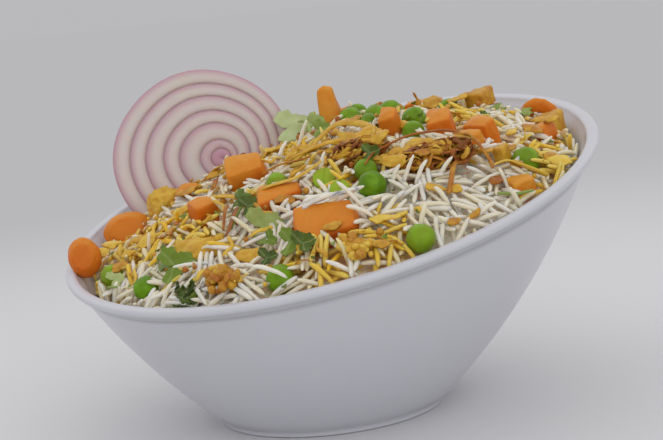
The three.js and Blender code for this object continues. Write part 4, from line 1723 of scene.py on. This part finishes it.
def leaf_outline(angle):
    """A coriander leaflet: three lobes with blunt teeth, drawn in to the stalk."""
    lobe = abs(math.cos(1.5 * angle)) ** 0.8
    tooth = 0.05 * math.cos(13 * angle)
    stalk = 0.55 * math.exp(-((abs(angle) - math.pi) / 0.55) ** 2)
    return 0.5 * max(0.54 + 0.46 * lobe + tooth - stalk, 0.12)


# Directions of a leaf's three midribs.
RIBS = (0, 2.1, -2.1)


def vein_at(co):
    """1 along the midribs of the three lobes, and less along their side veins."""
    reach = math.hypot(co.x, co.y)
    angle = math.atan2(co.y, co.x)
    distances = [abs(math.sin(angle - rib)) * reach for rib in RIBS if math.cos(angle - rib) > 0]
    near = min(distances, default=0.5)
    side = 0.4 * max(0.0, 1 - abs(math.sin(reach * 26 + abs(angle) * 5)) * 6)
    return max(math.exp(-((near / 0.018) ** 2)), side)


def leaf_shape(name, seed, size, cup, fold, across=26):
    """One coriander leaf, cupped and folded along its midrib."""

    def bend(x, y):
        ruffle = 0.10 * lumps(Vector((x, y, 0)), 0.3, seed)
        rise = cup * (x * x + y * y) + fold * abs(y) + ruffle
        return Vector((x * size, y * size, rise * size))

    return sheet_shape(name, leaf_outline, 0.22 * MM, bend, across, [("vein", vein_at)])


def leaf_finish(rgb):
    finish = Finish(
        "coriander", roughness=0.5, Coat_Weight=0.05, Coat_Roughness=0.3, IOR=1.35,
        Subsurface_Weight=0.1, Subsurface_Scale=0.0008,
    )
    patch = finish.noise(240.0, 3.0)
    shade = finish.kept("tint") + (patch - 0.5) * 0.3
    stops = [(0.0, (0.02, 0.04, 0.005)), (0.4, rgb), (0.75, (0.36, 0.45, 0.13)), (1.0, (0.52, 0.60, 0.30))]
    ramp = finish.node("ShaderNodeValToRGB", {"stops": stops}, {0: shade}, "Color")
    finish.set("Base Color", finish.mix(finish.kept("vein") * 0.45, ramp, (0.42, 0.50, 0.20)))
    finish.set("Roughness", patch * 0.3 + 0.28)
    finish.bump(finish.noise(500.0, 3.0), 0.0003, 0.5)
    return finish.material


# Place in the rim's plane, size and lift over the rice in millimetres, tint, turn and lean in degrees.
LEAVES = [
    (-28, 19, 16, 4.6, 0.97, 43, 36), (-17, 20, 9, 2.0, 0.72, 20, 34),
    (-11.5, -70.5, 10, 0.8, 0.32, -20, 60), (-4.5, -74.5, 14, 0.6, 0.40, 40, 48),
    (36, -62, 10, 0.5, 0.40, 30, 50), (41.5, -63, 9, 1.8, 0.15, 70, 40),
    (17, -53, 13, 0.4, 0.74, 43, 60), (0, -43, 9, 2.4, 0.22, 10, 45), (6, -46, 8, 2.6, 0.15, 60, 50),
    (31, -69, 7, 1.6, 0.12, 45, 35), (-34, -75.5, 7, 1.6, 0.85, 70, 50),
    (-2, 6, 8, 2.0, 0.50, 30, 40), (37, -17, 7, 2.2, 0.16, 40, 55),
    (26, -61, 6, 1.2, 0.35, 0, 20), (-36, 36, 12, 0.8, 0.45, 160, -8), (24, 72, 10, 0.8, 0.4, 200, -6),
    (-22, 60, 9, 0.8, 0.3, 190, -6), (46, 60, 8, 0.8, 0.6, 210, -5),
]
# Places in the rim's plane with their lift over the rice, width, all in millimetres, and tint.
STALKS = [
    ([(-12, 12, 0.5), (-17, 16, 4.0), (-23, 19, 5.5)], 1.6, 0.75),
    ([(-4, -38, 1.5), (2, -41, 3.0), (8, -45, 2.0)], 1.3, 0.15),
    ([(5, -48, 3.2), (7, -53, 2.6), (9, -59, 1.0)], 1.0, 0.3),
    ([(80, -13, 1.2), (84, -9, 1.2), (87, -4, 0.8)], 1.5, 0.6),
    ([(-40, -76, 1.0), (-34, -79, 1.0), (-27, -81, 0.8)], 1.2, 0.6),
    ([(73, -44, 4), (74, -46, 6), (75, -47, 7.5)], 0.8, 0.3),
    ([(-12, 40, 1.0), (-18, 46, 2.0), (-26, 50, 0.8)], 1.3, 0.4),
]


# How far the clump of dark leaves stands off its node, in millimetres.
CLUMP_MOVE = (-0.8, -3.0, -1.4)


class BIRYANI_OT_herbs(bpy.types.Operator):
    """Strews the coriander leaves and stalks"""

    bl_idname = "biryani.herbs"
    bl_label = "Herbs"

    def execute(self, context):
        form, bed = BowlForm(context.scene.biryani.bowl), BEDS["top"]
        rng = random.Random(41)
        rows = []
        for index, (x, y, size, lift, tint, turn, lean) in enumerate(LEAVES):
            cup, fold = rng.uniform(-0.8, 0.5), rng.uniform(0.1, 0.7)
            if tint > 0.8:
                cup, fold = cup * 0.3, fold * 0.2
            shape = leaf_shape(f"leaf_{index}", index * 2.7, size * MM, cup, fold)
            turns = math.radians(turn), math.radians(lean)
            rows.append((shape, on_bed(form, bed, x * MM, y * MM, lift * MM, *turns), tint))
        for index, (places, width, tint) in enumerate(STALKS):
            path = eased(resampled([bed_point(bed, *place) for place in places], 12), 3)
            rows.append((strand_shape(f"stalk_{index}", path, width * MM, width * 0.8 * MM), form.rim, tint))
        rows += self.clump(form, rng) + self.specks(form, bed, rng)
        finish = leaf_finish(context.scene.biryani.topping.leaf)
        placed(joined("leaves", rows, ["vein"]), "coriander_leaves", finish, "herb", "dark_floret")
        return {"FINISHED"}

    def clump(self, form, rng):
        """Small dark leaves crowded together."""
        shapes = [leaf_shape(f"small_{i}", i * 1.3, 4.5 * MM, rng.uniform(-1, 1), 0.5, 12) for i in range(4)]
        middle, size = rim_box(form, "dark_floret")
        rows = []
        for _ in range(22):
            spot = middle + Vector([rng.uniform(-0.45, 0.45) * side for side in size])
            spot += Vector(CLUMP_MOVE) * MM
            turns = turn_and_lean(rng.uniform(0, 6), rng.uniform(-1.4, 1.4))
            matrix = form.rim @ Matrix.Translation(spot) @ turns
            rows.append((rng.choice(shapes), matrix, rng.uniform(0.0, 0.25)))
        return rows

    def specks(self, form, bed, rng):
        shapes = [
            leaf_shape(f"speck_{i}", i * 1.9, size * MM, 0.3, 0.4, 10)
            for i, size in enumerate((1.4, 2.0, 2.8))
        ]
        spots = loose_spots(form, bed, rng, 80, 3 * MM)
        rows = []
        while len(rows) < 45:
            matrix = on_bed(form, bed, *next(spots), 0.3 * MM, rng.uniform(0, 6), rng.uniform(-0.6, 0.6))
            rows.append((rng.choice(shapes), matrix, rng.uniform(0.1, 0.6)))
        return rows


# ---- Running the tools in order -------------------------------------------------------------

STEPS = [
    BIRYANI_OT_stage,
    BIRYANI_OT_bowl,
    BIRYANI_OT_rice,
    BIRYANI_OT_peas,
    BIRYANI_OT_carrots,
    BIRYANI_OT_onion,
    BIRYANI_OT_fried_onion,
    BIRYANI_OT_golden,
    BIRYANI_OT_herbs,
]


class BIRYANI_PT_panel(bpy.types.Panel):
    """Lists the makers of the biryani"""

    bl_idname = "BIRYANI_PT_panel"
    bl_label = "Biryani"
    bl_space_type = "VIEW_3D"
    bl_region_type = "UI"
    bl_category = "Biryani"

    def draw(self, context):
        for step in STEPS:
            self.layout.operator(step.bl_idname)
        for group in ("bowl", "heap", "topping", "stage"):
            settings = getattr(context.scene.biryani, group)
            box = self.layout.box()
            for key in settings.__annotations__:
                box.prop(settings, key)


CLASSES = [
    BowlSettings,
    HeapSettings,
    ToppingSettings,
    StageSettings,
    BiryaniSettings,
    *STEPS,
    BIRYANI_PT_panel,
]


def register():
    for cls in CLASSES:
        bpy.utils.register_class(cls)
    bpy.types.Scene.biryani = PointerProperty(type=BiryaniSettings)


def unregister():
    del bpy.types.Scene.biryani
    for cls in reversed(CLASSES):
        bpy.utils.unregister_class(cls)


def main():
    register()
    for step in STEPS:
        group, operator = step.bl_idname.split(".")
        getattr(getattr(bpy.ops, group), operator)()


if __name__ == "__main__":
    main()
